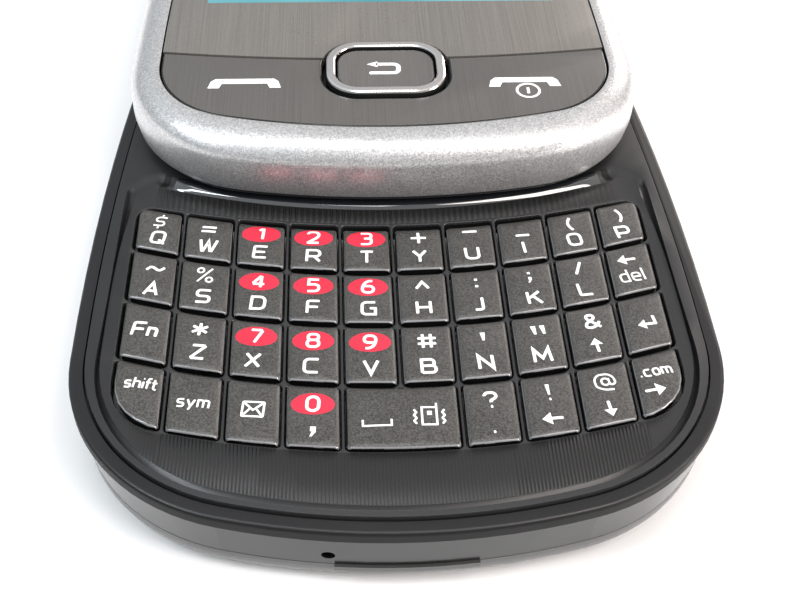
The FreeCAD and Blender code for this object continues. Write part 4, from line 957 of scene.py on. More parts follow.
# ---- legends: strokes on a grid, capitals 10 high and 8 wide; x,y or x,y,rounding; z closes, f fills
glyphs = {
    "A": "0,0 4,10 8,0/1.4,3.2 6.6,3.2",
    "B": "0,0 0,10 7.2,10,2.2 7.2,5.2,1.6 0,5.2/0,5.2 8,5.2,2.2 8,0,2.2 0,0",
    "C": "8,10 0,10,2.6 0,0,2.6 8,0",
    "D": "0,0 0,10 8,10,3.2 8,0,3.2 z",
    "E": "8,10 0,10,1 0,0,1 8,0/0,5 7,5",
    "F": "0,0 0,10,1.2 7.2,10/0,5 6.4,5",
    "G": "8,10 0,10,2.6 0,0,2.6 8,0 8,5 4.6,5",
    "H": "0,0 0,10/8,0 8,10/0,5 8,5",
    "I": "4,0 4,10",
    "J": "1,0 6,0,1.8 6,10",
    "K": "0,0 0,10/7.4,10 0.6,4.6/3,6.4 8,0",
    "L": "0,10 0,0,1 7.6,0",
    "M": "-0.6,0 0,10 4.4,2.6 8.8,10 9.4,0",
    "N": "0,0 0,10 8,0 8,10",
    "O": "0,0,2.8 8,0,2.8 8,10,2.8 0,10,2.8 z",
    "P": "0,0 0,10 8,10,2.4 8,4,2.4 0,4",
    "Q": "0,0,2.8 8,0,2.8 8,10,2.8 0,10,2.8 z/4.8,3 8.8,-0.8",
    "R": "0,0 0,10 8,10,2.8 8,4.4,2.6 0,4.4/4.4,4.4 8.2,0",
    "S": "8,10 0,10,2.2 0,5,2.2 8,5,2.2 8,0,2.2 0,0",
    "T": "0,10 8,10/4,10 4,0",
    "U": "0,10 0,0,2.8 8,0,2.8 8,10",
    "V": "0,10 4,0 8,10",
    "W": "-1,10 1.1,0.5 1.9,0.5 4,8.4 6.1,0.5 6.9,0.5 9,10",
    "X": "0,10 8,0/8,10 0,0",
    "Y": "0,10 4,4.8 8,10/4,4.8 4,0",
    "Z": "0,10 7.6,10/7.9,9.9 0.1,0.1/0.4,0 8,0",
    "0": "0,0,3.2 6.6,0,3.2 6.6,10,3.2 0,10,3.2 z",
    "1": "1.2,7.8 3.4,9.8/3.8,10 3.8,0",
    "2": "0,8 0,10,2.2 6.8,10,2.6 6.8,5.6,2 0,0,0.6 7,0",
    "3": "0,10 6.6,10,2.2 6.6,5.2,1.8 2,5.2/2,5.2 6.8,5.2,1.8 6.8,0,2.4 0,0",
    "4": "5.2,0 5.2,9.8/4.9,9.8 0.3,3.2/0.3,2.8 7.4,2.8",
    "5": "6.6,10 0.6,10 0.4,5.8 6.8,5.8,2.6 6.8,0,2.6 0,0",
    "6": "6.2,10 2.6,10,2.4 0,5.6,2.4 0,0,2.8 6.8,0,2.8 6.8,5.6,2.6 0.2,5.6",
    "7": "0,10 6.6,10/6.7,9.7 2.6,0",
    "8": "0.4,5.4,1.9 6.4,5.4,1.9 6.4,10,2 0.4,10,2 z/0,0,2.4 6.8,0,2.4 6.8,5.4,2.2 0,5.4,2.2 z",
    "9": "0.6,0 4.2,0,2.4 6.8,4.4,2.4 6.8,10,2.8 0,10,2.8 0,4.4,2.6 6.6,4.4",
    "$": "7.2,8.6 1.2,8.6,1.9 0.8,5,1.9 6.6,5,1.9 6.2,1.4,1.9 0.2,1.4/4.4,11.2 4.2,9.6/3.4,0.4 3.2,-1.2",
    "=": "0,6.4 8,6.4/0,3.2 8,3.2",
    "+": "0,5 8,5/4,1 4,9",
    "-": "0,7.6 8,7.6",
    "_": "0,1.6 8,1.6",
    "(": "4.6,10.6 2.4,7.6,2.6 2.4,2.4,2.6 4.6,-0.6",
    ")": "3.4,10.6 5.6,7.6,2.6 5.6,2.4,2.6 3.4,-0.6",
    "~": "-0.6,3.6 1.6,6.4,1.4 6.2,3.4,1.4 8.6,6.2",
    "%": "0,6.6,1.6 3.2,6.6,1.6 3.2,10,1.6 0,10,1.6 z"
         "/5.4,0,1.6 8.6,0,1.6 8.6,3.4,1.6 5.4,3.4,1.6 z/1,0 7.6,10",
    "^": "0.6,3 4,8 7.4,3",
    ":": "3,8 4.8,8 4.8,6.4 3,6.4 f/3,2.6 4.8,2.6 4.8,1 3,1 f",
    ";": "3,8.6 4.8,8.6 4.8,7 3,7 f/3,4.4 5,4.4 5,2.2 3.4,-0.2 2.4,-0.2 3.4,2.2 3,2.2 f",
    "/": "1,-0.4 6,10.4",
    "*": "4,1 4,9/0.4,3 7.6,7/0.4,7 7.6,3",
    "#": "2,0.4 2,9.6/6,0.4 6,9.6/-0.6,3.2 8.6,3.2/-0.6,6.8 8.6,6.8",
    "'": "2.8,8 5.4,8 4.8,2.6 3.6,2.6 f",
    "\"": "0.6,8 3.2,8 2.9,2.6 1.7,2.6 f/5,8 7.6,8 7.3,2.6 6.1,2.6 f",
    "&": "8.6,0 1.4,7,1.6 1.4,10,1.8 5.8,10,1.8 5.8,7,1.6 0,3.6,2.2 0,0,2.4 5,0,2.4 8.6,4.4",
    "?": "0,7.8 0,10,2.2 6.4,10,2.4 6.4,6.2,2 3.2,4.6,0.8 3.2,3.2/2.6,0.2 3.8,0.2",
    "!": "3,10.8 5.2,10.8 4.7,3.4 3.5,3.4 f/3.5,0.2 4.7,0.2",
    ".": "-0.4,0.8 0.9,0.8",
    ",": "2.2,7.4 5.4,7.4 5.4,3.8 3.4,0.6 2.1,0.6 3.4,4.2 2.2,4.2 f",
    "@": "8.6,-1.6 1,-1.6,4 -1.6,2,2.6 -1.6,10.4,5 10.6,10.4,5 10.6,2.2,2.2 7,2.2,1.2 7,7.2"
         "/2.4,2.2,2.2 7,2.2,2.2 7,7.2,2.2 2.4,7.2,2.2 z",
    "<-": "-1,5 4,9 4,1 f/3.6,5 10,5",
    "->": "9,5 4,9 4,1 f/-2,5 4.4,5",
    "up": "4,11 7.8,6 0.2,6 f/4,0 4,6.4",
    "down": "4,-1 7.8,4 0.2,4 f/4,10 4,3.6",
    "enter": "-1,3.4 3.6,7 3.6,-0.2 f/3.2,3.4 9.4,3.4 9.4,9.4",
    "c": "4.8,6.4 0,6.4,1.8 0,0,1.8 4.8,0",
    "d": "4.8,10 4.8,0 0,0,1.8 0,6.4,1.8 4.8,6.4",
    "e": "0,3.2 4.8,3.2 4.8,6.4,1.8 0,6.4,1.8 0,0,1.8 4.6,0",
    "f": "3.4,10 1,10,1.6 1,0/-0.6,6.4 3.2,6.4",
    "h": "0,0 0,10/0,6.4 4.8,6.4,1.8 4.8,0",
    "i": "0,0 0,6.4/-0.5,9.4 0.5,9.4",
    "l": "0,10 0,0",
    "m": "0,0 0,6.4 3.8,6.4,1.6 3.8,0/3.6,6.4 7.6,6.4,1.6 7.6,0",
    "n": "0,0 0,6.4 4.8,6.4,1.8 4.8,0",
    "o": "0,0,1.8 4.8,0,1.8 4.8,6.4,1.8 0,6.4,1.8 z",
    "s": "4.4,6.4 0,6.4,1.4 0,3.2,1.4 4.4,3.2,1.4 4.4,0,1.4 0,0",
    "t": "1,9.4 1,0,1.6 3.4,0/-0.6,6.4 3.2,6.4",
    "y": "0,6.4 2.6,0.6/5.2,6.4 1.6,-2.8",
    "envelope": "0,-1,0.8 15,-1,0.8 15,12,0.8 0,12,0.8 z"
                "/0.6,11.4 7.5,4.6 14.4,11.4/0.6,-0.4 5.4,6/14.4,-0.4 9.6,6",
    "bracket": "0,4.4 0,0 16,0 16,4.4",
    "buzz": "0,0 8,0 8,12 0,12 z/8,12 8,15/2.8,6.6 5.4,6.6 5.4,9.4 2.8,9.4 f"
            "/-3,0.6 -4.4,2.6 -3,4.6 -4.4,6.6 -3,8.6 -4.4,10.6"
            "/11,0.6 12.4,2.6 11,4.6 12.4,6.6 11,8.6 12.4,10.6"}
lowerWidths = {"c": 4.8, "d": 4.8, "e": 4.8, "f": 2.6, "h": 4.8, "i": 0, "l": 0, "m": 7.6, "n": 4.8,
               "o": 4.8, "s": 4.4, "t": 2.8, "y": 5.2, "F": 7, ".": 1.0}
penShape = {"longEdge": 0.5, "cuts": 4, "cornerSteps": 5, "endRound": 0.3, "endAngle": math.radians(40)}
legendStyle = {"unit": 0.146, "stroke": 0.27, "thin": 0.18, "spacing": 2.4, "letterUp": 1.35,
               "turnShare": 0.55, "lift": 0.016, "digitLift": 0.006, "ovalLift": 0.008, "sunk": 0.05,
               "ovalHalf": (1.80, 1.13), "ovalRings": (0.12, 0.18, 0.22, 0.22)}


def readPoints(stroke):
    tokens = stroke.split()
    ending = tokens.pop() if tokens[-1] in ("z", "f") else ""
    return [[float(number) for number in token.split(",")] for token in tokens], ending


def pour(bm, into):
    # adds one bmesh to another and frees it
    mesh = bpy.data.meshes.new("poured")
    bm.to_mesh(mesh)
    bm.free()
    into.from_mesh(mesh)
    bpy.data.meshes.remove(mesh)


def joinInto(bm, other, material):
    for face in other.faces:
        face.material_index = material
    pour(other, bm)


def standUp(bm, extruded):
    # raises what was extruded by one and turns all faces outward
    bmesh.ops.translate(bm, vec=(0, 0, 1), verts=vertsIn(extruded))
    bmesh.ops.recalc_face_normals(bm, faces=bm.faces)


def thickenInto(solids, ribbons, width):
    # upright ribbons given the pen's width
    mesh = bpy.data.meshes.new("ribbons")
    ribbons.to_mesh(mesh)
    ribbons.free()
    helper = bpy.data.objects.new("ribbons", mesh)
    bpy.context.scene.collection.objects.link(helper)
    pen = helper.modifiers.new("pen", "SOLIDIFY")
    pen.thickness = width
    pen.offset = 0
    pen.use_even_offset = True
    thick = bpy.data.meshes.new_from_object(helper.evaluated_get(bpy.context.evaluated_depsgraph_get()))
    solids.from_mesh(thick)
    bpy.data.meshes.remove(thick)
    bpy.data.objects.remove(helper)
    bpy.data.meshes.remove(mesh)


def drawStrokes(path, place, wires, fills):
    # the path's filled outlines, and its lines with their corners rounded
    unit = (place(1, 0) - place(0, 0)).length
    for stroke in path.split("/"):
        points, ending = readPoints(stroke)
        bm = fills if ending == "f" else wires
        verts = [bm.verts.new(place(point[0], point[1])) for point in points]
        if ending == "f":
            bm.faces.new(verts)
            continue
        for pair in zip(verts, verts[1:] + (verts[:1] if ending == "z" else [])):
            bm.edges.new(pair)
        for vert, point in zip(verts, points):
            if len(point) > 2:
                bmesh.ops.bevel(bm, geom=[vert], offset=point[2] * unit, offset_type="OFFSET", profile=0.5,
                                segments=penShape["cornerSteps"], affect="VERTICES", material=-1)


def strokeSolids(path, place, width):
    # solids of a path, standing from 0 to 1, with the pen's corners rounded
    wires, fills, solids = bmesh.new(), bmesh.new(), bmesh.new()
    drawStrokes(path, place, wires, fills)
    if wires.edges:
        longEdges = [edge for edge in wires.edges if edge.calc_length() > penShape["longEdge"]]
        bmesh.ops.subdivide_edges(wires, edges=longEdges, cuts=penShape["cuts"])
        standUp(wires, bmesh.ops.extrude_edge_only(wires, edges=wires.edges[:])["geom"])
        thickenInto(solids, wires, width)
        ends = [edge for edge in solids.edges if len(edge.link_faces) == 2
                and abs(edge.verts[0].co.z - edge.verts[1].co.z) > 0.5
                and edge.calc_face_angle_signed() > penShape["endAngle"]]
        bmesh.ops.bevel(solids, geom=ends, offset=width * penShape["endRound"], offset_type="OFFSET",
                        segments=2, profile=0.5, affect="EDGES", material=-1, clamp_overlap=True)
    if fills.faces:
        standUp(fills, bmesh.ops.extrude_face_region(fills, geom=fills.faces[:])["geom"])
        pour(fills, solids)
    return solids


def layOn(solids, heightAt, lift, sunk):
    # lays upright solids on a surface: their tops stand just above it and their feet just below
    for vert in solids.verts:
        vert.co.z = heightAt(vert.co.x, vert.co.y) + (lift if vert.co.z > 0.5 else -sunk)


# key: upper legend, lower legend; a digit above stands in a red oval
legends = {
    "q": ("$", "Q"), "w": ("=", "W"), "e": ("1", "E"), "r": ("2", "R"), "t": ("3", "T"), "y": ("+", "Y"),
    "u": ("-", "U"), "i": ("_", "I"), "o": ("(", "O"), "p": (")", "P"),
    "a": ("~", "A"), "s": ("%", "S"), "d": ("4", "D"), "f": ("5", "F"), "g": ("6", "G"), "h": ("^", "H"),
    "j": (":", "J"), "k": (";", "K"), "l": ("/", "L"), "delete": ("<-", "del"),
    "fn": (None, "Fn"), "z": ("*", "Z"), "x": ("7", "X"), "c": ("8", "C"), "v": ("9", "V"), "b": ("#", "B"),
    "n": ("'", "N"), "m": ("\"", "M"), "up": ("&", "up"), "enter": (None, "enter"),
    "shift": (None, "shift"), "sym": (None, "sym"), "mail": (None, "envelope"), "comma": ("0", ","),
    "space": (None, None), "period": ("?", "."), "left": ("!", "<-"), "down": ("@", "down"),
    "right": (".com", "->")}
upperOffset = (0.99, 1.12, 1.1, 1.15)  # of the upper legend above the key's middle, lowest row first
unitOf = {
    "$": 0.155, "=": 0.17, "+": 0.18, "-": 0.17, "_": 0.165, "(": 0.145, ")": 0.15, "~": 0.175, "%": 0.172,
    "^": 0.165, ":": 0.155, ";": 0.15, "/": 0.14, "*": 0.18, "#": 0.172, "'": 0.17, "\"": 0.18, "&": 0.148,
    "?": 0.15, "!": 0.15, "@": 0.14, ".com": 0.108, "<-": 0.16, "Fn": 0.146, "del": 0.15, "->": 0.165,
    "envelope": 0.116, "enter": 0.155, "shift": 0.108, "sym": 0.118, "W": 0.155}
shiftOf = {
    "$": (0.1, -0.27), "=": (0, -0.2), "(": (-0.18, -0.35), ")": (0, -0.5), "P": (0, -0.35), "_": (0, -0.25),
    "~": (0.22, -0.3), "A": (0.1, -0.2), "del": (-0.2, -0.25), "/": (-0.25, 0), "K": (0.2, 0), "Z": (0, 0.25),
    "X": (-0.2, 0.15), "C": (-0.15, 0), "enter": (0, -0.35), ".com": (-0.25, 0), "->": (-0.6, 0.6),
    "@": (0, 0.1), "Q": (0.12, 0), "shift": (0.25, -0.1), "envelope": (0, -0.12), "sym": (0, -0.05)}
thinMarks = ("$", "@", ".com", "%", "del", "envelope", "shift", "sym")
lowerUp = {"delete": -0.9, "shift": 0.9}  # lower legends set otherwise, above the key's middle
arrowShift = Vector((-0.35, -0.25, 0))  # of the delete key
spaceMarks = (("bracket", (-2.1, -0.35, 0), None), ("buzz", (2.15, -0.35, 0), 0.15))
keyCap = {
    "foot": 7.35, "waist": 8.1, "shoulder": 8.33, "flare": 0.1, "edge": 0.11, "corner": 0.38, "edgeSteps": 4,
    "crown": 0.13, "crownHalf": 3.2, "crownLimit": 1.05, "nearLevel": 0.7,
    "sideRoll": 0.42, "sideDrop": 0.20, "sidePower": 2.4, "cornerDrop": 0.6,
    "nearFlare": 0.2, "nearRoll": 0.6, "nearDrop": 0.08,
    "farRoll": 1.0, "farDrop": 0.4, "farEnds": 0.55,
    "cuts": (0.14, 0.21, 0.29, 0.4, 0.7, 1.2, 1.8, 2.6, 3.6, 4.6)}  # lines over the top, from its edge
# the side finish is painted shade, the edge finish a painted highlight
capFinish = {"top": 0, "legend": 1, "oval": 2, "side": 3, "edge": 4}


def keyShape(row, first, wide):
    # middle, half sizes and top surface of a key cap
    left = columnX(first) + halfGap - keyCap["flare"]
    right = columnX(first + wide) - halfGap + keyCap["flare"]
    middle = Vector(((left + right) / 2, 0, 0))
    low = rowY(row, middle.x) + halfGap
    high = rowY(row + 1, middle.x) - halfGap
    middle.y = (low + high) / 2
    halfWide = (right - left) / 2
    halfHigh = (high - low) / 2
    crownHalf = min(halfWide, keyCap["crownHalf"])

    def topAt(x, y):
        # a gentle crown, rolled down at the sides and near corners and scooped at the far edge
        c = keyCap
        aside = abs(x - middle.x)
        across = max(0.0, aside - (halfWide - crownHalf)) / crownHalf
        along = y - middle.y - sag(x, keyboard["rowRadius"]) + sag(middle.x, keyboard["rowRadius"])
        side = within((aside - halfWide) / c["sideRoll"] + 1)
        far = within((along - halfHigh) / c["farRoll"] + 1)
        near = within((-along - halfHigh - c["nearFlare"]) / c["nearRoll"] + 1)
        crown = c["crown"] * (1 - min(across, c["crownLimit"]) ** 2) * (1 - c["nearLevel"] * near ** 2)
        sideDrop = (c["sideDrop"] + c["cornerDrop"] * near) * side ** c["sidePower"]
        scoop = c["farDrop"] * (1 - c["farEnds"] * min(aside / halfWide, 1.0) ** 3) * far ** 2
        return c["shoulder"] + c["edge"] + crown - sideDrop - c["nearDrop"] * near ** 2 - scoop
    return {"middle": middle, "halfWide": halfWide, "halfHigh": halfHigh, "topAt": topAt, "row": row}


def legendPaths(text, centre, unit, turn):
    # strokes of a word or an icon round its centre, with where each point goes
    gap = legendStyle["spacing"]
    if text in glyphs:
        letters = [text]
        xs = [point[0] for stroke in glyphs[text].split("/") for point in readPoints(stroke)[0]]
        x = -(max(xs) - min(xs)) / 2 - min(xs)
    else:
        letters = list(text)
        x = -(sum(lowerWidths[letter] for letter in text) + gap * (len(text) - 1)) / 2
    rotation = Matrix.Rotation(turn, 3, "Z")
    made = []
    for letter in letters:
        def place(px, py, shift=x):
            return centre + rotation @ Vector(((px + shift) * unit, (py - 5) * unit, 0))
        made.append((glyphs[letter], place))
        x += lowerWidths.get(letter, 0) + gap
    return made


def addLegend(bm, text, centre, topAt, width, unit=None, turn=0.0, extraLift=0.0):
    for path, place in legendPaths(text, centre, unit or legendStyle["unit"], turn):
        solids = strokeSolids(path, place, width)
        layOn(solids, topAt, legendStyle["lift"] + extraLift, legendStyle["sunk"])
        joinInto(bm, solids, capFinish["legend"])


def addOval(bm, centre, topAt, turn):
    oval = bmesh.new()
    bmesh.ops.create_circle(oval, cap_ends=True, radius=1, segments=48)
    middle = oval.faces[:][0]
    for thickness in legendStyle["ovalRings"]:
        bmesh.ops.inset_individual(oval, faces=[middle], thickness=thickness, depth=0, use_even_offset=True)
    matrix = (Matrix.Translation(centre) @ Matrix.Rotation(turn, 4, "Z")
              @ Matrix.Diagonal((*legendStyle["ovalHalf"], 1, 1)))
    bmesh.ops.transform(oval, matrix=matrix, verts=oval.verts)
    for vert in oval.verts:
        vert.co.z = topAt(vert.co.x, vert.co.y) + legendStyle["ovalLift"]
    rim = [edge for edge in oval.edges if edge.is_boundary]
    for vert in vertsIn(bmesh.ops.extrude_edge_only(oval, edges=rim)["geom"]):
        vert.co.z -= legendStyle["sunk"]
    bmesh.ops.recalc_face_normals(oval, faces=oval.faces)
    joinInto(bm, oval, capFinish["oval"])


def addKeyLegends(bm, name, shape):
    upper, lower = legends[name]
    middle, topAt, style = shape["middle"], shape["topAt"], legendStyle
    if name == "space":
        for text, offset, unit in spaceMarks:
            addLegend(bm, text, middle + Vector(offset), topAt, style["thin"], unit)
        return
    turn = math.asin(middle.x / keyboard["rowRadius"]) * style["turnShare"]
    lowerY = middle.y - shape["halfHigh"] + style["letterUp"]
    if upper is None or name in lowerUp:
        lowerY = middle.y + lowerUp.get(name, 0.0)
    lowerAt = Vector((middle.x, lowerY, 0))
    upperAt = Vector((middle.x, middle.y + upperOffset[shape["row"]], 0))
    if name == "delete":
        upperAt += arrowShift
    if upper is not None and upper.isdigit():
        addOval(bm, upperAt, topAt, turn)
    for text, place in ((lower, lowerAt), (upper, upperAt)):
        if text is None:
            continue
        width = style["thin"] if text in thinMarks else style["stroke"]
        addLegend(bm, text, place + Vector((*shiftOf.get(text, (0, 0)), 0)), topAt, width,
                  unitOf.get(text), turn, style["digitLift"] if text.isdigit() else 0.0)


def capOutline(index):
    # flat face of one key's cell, less half the gap, with rounded corners
    bm = cells.copy()
    keyOf = bm.faces.layers.int["key"]
    bmesh.ops.delete(bm, geom=[face for face in bm.faces if face[keyOf] != index], context="FACES")
    cap = bm.faces[:][0]
    ring = bmesh.ops.inset_individual(bm, faces=[cap], thickness=halfGap, depth=0, use_even_offset=True)
    bmesh.ops.delete(bm, geom=ring["faces"], context="FACES")
    roundCorners(bm, [cap], cornerVerts(cap), keyCap["corner"], 4)
    for vert in bm.verts:
        vert.co.z = keyCap["foot"]
    return bm


def raiseCap(bm, shape):
    # walls that widen above the plate, and the edge rolled round the top
    top = bm.faces[:][0]
    for level in (keyCap["waist"], keyCap["shoulder"]):
        made = bmesh.ops.extrude_face_region(bm, geom=[top])["geom"]
        for vert in vertsIn(made):
            vert.co.z = level
        top = facesIn(made)[0]
        top.normal_update()
        if top.normal.z < 0:
            top.normal_flip()
    middle, flare = shape["middle"], keyCap["flare"]
    for vert in top.verts:
        vert.co.x += (vert.co.x - middle.x) / (shape["halfWide"] - flare) * flare
        if vert.co.y < middle.y:
            vert.co.y -= keyCap["nearFlare"]
    turns = [math.pi / 2 * step / keyCap["edgeSteps"] for step in range(keyCap["edgeSteps"] + 1)]
    for before, after in zip(turns, turns[1:]):
        rolled = bmesh.ops.inset_individual(
            bm, faces=[top], use_even_offset=True,
            thickness=keyCap["edge"] * (math.cos(before) - math.cos(after)),
            depth=keyCap["edge"] * (math.sin(after) - math.sin(before)))["faces"]
        # the rolled edge takes the lighter edge finish, a painted highlight line
        for face in rolled:
            face.material_index = capFinish["edge"]


def shapeTop(bm, shape):
    # lines over the flat top, closer near its edges, and then its curved surface
    level = keyCap["shoulder"] + keyCap["edge"]
    upright, justBelow = 0.99, 1e-3
    middle = shape["middle"]
    for half, centre, normal in ((shape["halfWide"], middle.x, Vector((1, 0, 0))),
                                 (shape["halfHigh"], middle.y, Vector((0, 1, 0)))):
        reaches = [half - cut for cut in keyCap["cuts"] if half - cut > 0.3]
        for at in [centre + reach for reach in reaches] + [centre - reach for reach in reaches] + [centre]:
            flat = [face for face in bm.faces
                    if face.normal.z > upright and face.calc_center_median().z > level - justBelow]
            geometry = {item for face in flat for item in (face, *face.edges, *face.verts)}
            bmesh.ops.bisect_plane(bm, geom=list(geometry), dist=mergeDistance, plane_co=normal * at,
                                   plane_no=normal)
    for vert in bm.verts:
        if vert.co.z > keyCap["foot"] + 0.1:
            vert.co.z += shape["topAt"](vert.co.x, vert.co.y) - level


def keyPiece(index, name, row, first, wide):
    bm = capOutline(index)
    shape = keyShape(row, first, wide)
    raiseCap(bm, shape)
    shapeTop(bm, shape)
    bmesh.ops.recalc_face_normals(bm, faces=bm.faces)
    steepest, turned, belowShoulder = 0.6, 0.2, keyCap["shoulder"] - 0.02
    for face in bm.faces:  # walls painted near black as shade, and their near corners painted light like the edge, a painted highlight
        height = face.calc_center_median().z
        if abs(face.normal.z) < steepest and height < belowShoulder:
            hook = height > keyCap["waist"] and face.normal.y < -turned and abs(face.normal.x) > turned
            face.material_index = capFinish["edge" if hook else "side"]
    addKeyLegends(bm, name, shape)
    finishPiece("cap_" + name, bm, [keyPlastic, legendWhite, legendRed, paintedShadeBlack, paintedHighlightEdge], "key_" + name,
                ["key_" + name])


for index, (name, row, first, wide) in enumerate(keyNames):
    keyPiece(index, name, row, first, wide)
print("keys made")

# ---- silver frame
silverFrame = {
    "wall": 1.5, "bottom": 9.4, "draft": 0.25, "draftHeight": 1.4, "crease": 12.96, "pillow": 2.34,
    "pillowWidth": 0.975, "steps": 12, "edge": 0.12, "roll": 0.06, "windowBottom": 14.2, "ledge": 0.8,
    "ledgeBase": 13.4}


def silverFramePiece():
    s = silverFrame
    top = s["crease"] + s["pillow"]
    rings = ringsAt(slideOutline, (
        (s["wall"], s["bottom"]), (s["draft"] + s["edge"], s["bottom"]),
        (s["draft"] + s["edge"] * 0.3, s["bottom"] + s["edge"] * 0.3), (s["draft"], s["bottom"] + s["edge"]),
        (0, s["bottom"] + s["draftHeight"]), (0, s["crease"])))
    outer = inset(slideOutline, 0, 0)
    inner = inset(windowOutline, 0, 0)
    for step in range(1, s["steps"] + 1):
        turn = math.pi / 2 * step / s["steps"]
        share = (1 - math.cos(turn)) * s["pillowWidth"]
        rings.append(between(outer, inner, share, s["crease"] + s["pillow"] * math.sin(turn)))
    wallStart = len(rings)  # the inner wall below the edge is black
    rings += ringsAt(windowOutline, (
        (s["roll"] * 0.3, top - s["roll"] * 0.3), (0, top - s["roll"] * 1.4), (0, s["windowBottom"]),
        (s["ledge"], s["windowBottom"]), (s["ledge"], s["ledgeBase"])))
    rings.append(inset(slideOutline, s["wall"], s["ledgeBase"]))
    bm = bmesh.new()
    sweepRings(bm, rings, materials=[1 if index > wallStart else 0 for index in range(len(rings))])
    finishPiece("silver_surround", bm, [silverPaint, shellPlastic], "slide", ["slide_frame"],
                sharpAngle=50)


silverFramePiece()
print("silver frame made")


# ---- front case: the rim's outer wall is painted near black, a painted shade under the parting line
def frontCase():
    steepest = 0.75  # of a wall's normal, upward
    bm = nodeMesh("base_front_case")
    for face in bm.faces:
        centre = face.calc_center_median()
        outward = face.normal.x * centre.x + face.normal.y * (centre.y - basePlan["bulge"]) > 0
        if outward and abs(face.normal.z) < steepest:
            face.material_index = 1
    finishPiece("front_case_finished", bm, [rimPlastic, paintedShadeBlack], "base", ["base_front_case"])


frontCase()

# ---- bright ring: flat satin top between two small chamfers; its outer and inner walls are painted near black, a painted dark reflection
ringShape = {"corner": 3.3, "band": 0.95, "outerEdge": 0.2, "innerEdge": 0.14, "outerRoll": 0.03,
             "wallTop": 0.42, "steps": 8}


def roundedOutline(low, high, corner, steps):
    # points and outward normals of a rounded rectangle
    points, normals = [], []
    for quarter, (across, along) in enumerate(((1, 1), (-1, 1), (-1, -1), (1, -1))):
        middle = Vector((high.x - corner if across > 0 else low.x + corner,
                         high.y - corner if along > 0 else low.y + corner, 0))
        for step in range(steps + 1):
            turn = math.pi / 2 * (quarter + step / steps)
            outward = Vector((math.cos(turn), math.sin(turn), 0))
            points.append(middle + outward * corner)
            normals.append(outward)
    return {"points": points, "normals": normals}


def ringPiece():
    low, high = nodeBox("key_ring")
    s = ringShape
    out, into, top = s["outerEdge"], s["innerEdge"], high.z
    rings = ringsAt(roundedOutline(low, high, s["corner"], s["steps"]), (
        (0, low.z), (0, top - s["wallTop"]), (s["outerRoll"], top - out * 1.1), (out * 0.5, top - out * 0.4),
        (out * 1.3, top), (s["band"] - into, top), (s["band"] - into * 0.3, top - into * 0.4),
        (s["band"], top - into), (s["band"], low.z)))
    bm = bmesh.new()
    # dark is near-black metal on the walls, a painted dark reflection
    bright, dark, satin = 0, 1, 2
    sweepRings(bm, rings, materials=[dark, dark, bright, bright, satin, bright, bright, dark, dark])
    finishPiece("ring_bright", bm, [brightMetal, paintedDarkReflection, satinMetal], "slide", ["key_ring"],
                sharpAngle=25)


ringPiece()
softenNode("front_window", 0.13, windowLayer, "slide")
# its rounded edge takes the near-black metal, a painted dark reflection
softenNode("key_plate", 0.5, keyPlateMetal, "key_plate", segments=3, edgeFinish=paintedDarkReflection)
print("ring and front edges made")

# ---- marks on the key plate and the back key, in millimetres round their own centres
handset = ("-3.55,-0.8 -3.3,0.25 -2.85,0.7 2.85,0.7 3.3,0.25 3.55,-0.8"
           " 2.45,-0.8 2.2,-0.1 -2.2,-0.1 -2.45,-0.8 f")
powerRing = "-1.1,-1.1,1.1 1.1,-1.1,1.1 1.1,1.1,1.1 -1.1,1.1,1.1 z"
returnArrow = "-0.9,0.72 1.3,0.72,0.5 1.3,-0.75,0.5 -1.6,-0.75/-1.85,0.72 -0.75,1.2 -0.75,0.24 f"
marks = {
    "call_mark": {"paths": [(handset, (-13.85, -19.78), 0.3)], "body": "key_plate", "node": "key_plate"},
    "end_mark": {"paths": [(handset, (13.53, -20.03), 0.3), (powerRing, (13.75, -21.5), 0.26),
                           ("0,-0.5 0,0.5", (13.75, -21.5), 0.28)], "body": "key_plate", "node": "key_plate"},
    "return_mark": {"paths": [(returnArrow, (-0.05, -17.7), 0.46)], "body": "back_key", "node": "back_key"}}

markLift, markSunk = 0.012, 0.03


def markPiece(name, mark):
    bm = bmesh.new()
    level = nodeBox(mark["node"])[1].z
    for path, (x, y), width in mark["paths"]:
        solids = strokeSolids(path, lambda px, py: Vector((x + px, y + py, 0)), width)
        layOn(solids, lambda px, py: level, markLift, markSunk)
        joinInto(bm, solids, 0)
    finishPiece(name, bm, [legendWhite], mark["body"])


for name, mark in marks.items():
    markPiece(name, mark)

# ---- other nodes keep their shape and get their finish
nodeFinish = {
    "base_rear_case": casePlastic, "battery_cover": coverPlastic,
    "slide_back": shellPlastic, "slide_channel_plate": steelMetal, "slide_runner": steelMetal,
    "base_screws": steelMetal, "keymat": rubberSheet, "main_board": boardLacquer, "battery": cellWrap,
    "camera_module": shellPlastic, "display_module": panelGlass, "back_key": backKeyMetal,
    "earpiece": meshMetal, "volume_rocker": sideKeyPlastic, "camera_key": sideKeyPlastic}
for node, material in nodeFinish.items():
    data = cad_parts[node].data
    data.materials.clear()
    data.materials.append(material)
print("nodes finished")


# ---- floor, light and camera
def floorMaterial():
    # plain white that takes the shadow, a little brighter in reflections
    colour, reflectedGlow = (0.86, 0.86, 0.86, 1), 0.3
    material, tree, shader = newMaterial("floor_pale", {
        "Base Color": colour, "Emission Color": colour, "Roughness": 0.9, "Specular IOR Level": 0.1})
    grain = useEffect(tree, grainEffect, {"Scale": 300.0})
    addBump(tree, shader, grain["Height"], 0.02, 0.0001)
    reflected = addNode(tree, "ShaderNodeLightPath").outputs["Is Glossy Ray"]
    tree.links.new(mathOf(tree, "MULTIPLY", reflected, reflectedGlow), shader["Emission Strength"])
    return material


def makeFloor():
    bm = bmesh.new()
    bmesh.ops.create_grid(bm, x_segments=1, y_segments=1, size=3.0)
    mesh = bpy.data.meshes.new("floor")
    bm.to_mesh(mesh)
    bm.free()
    mesh.materials.append(floorMaterial())
    floor = bpy.data.objects.new("floor", mesh)
    bpy.context.scene.collection.objects.link(floor)


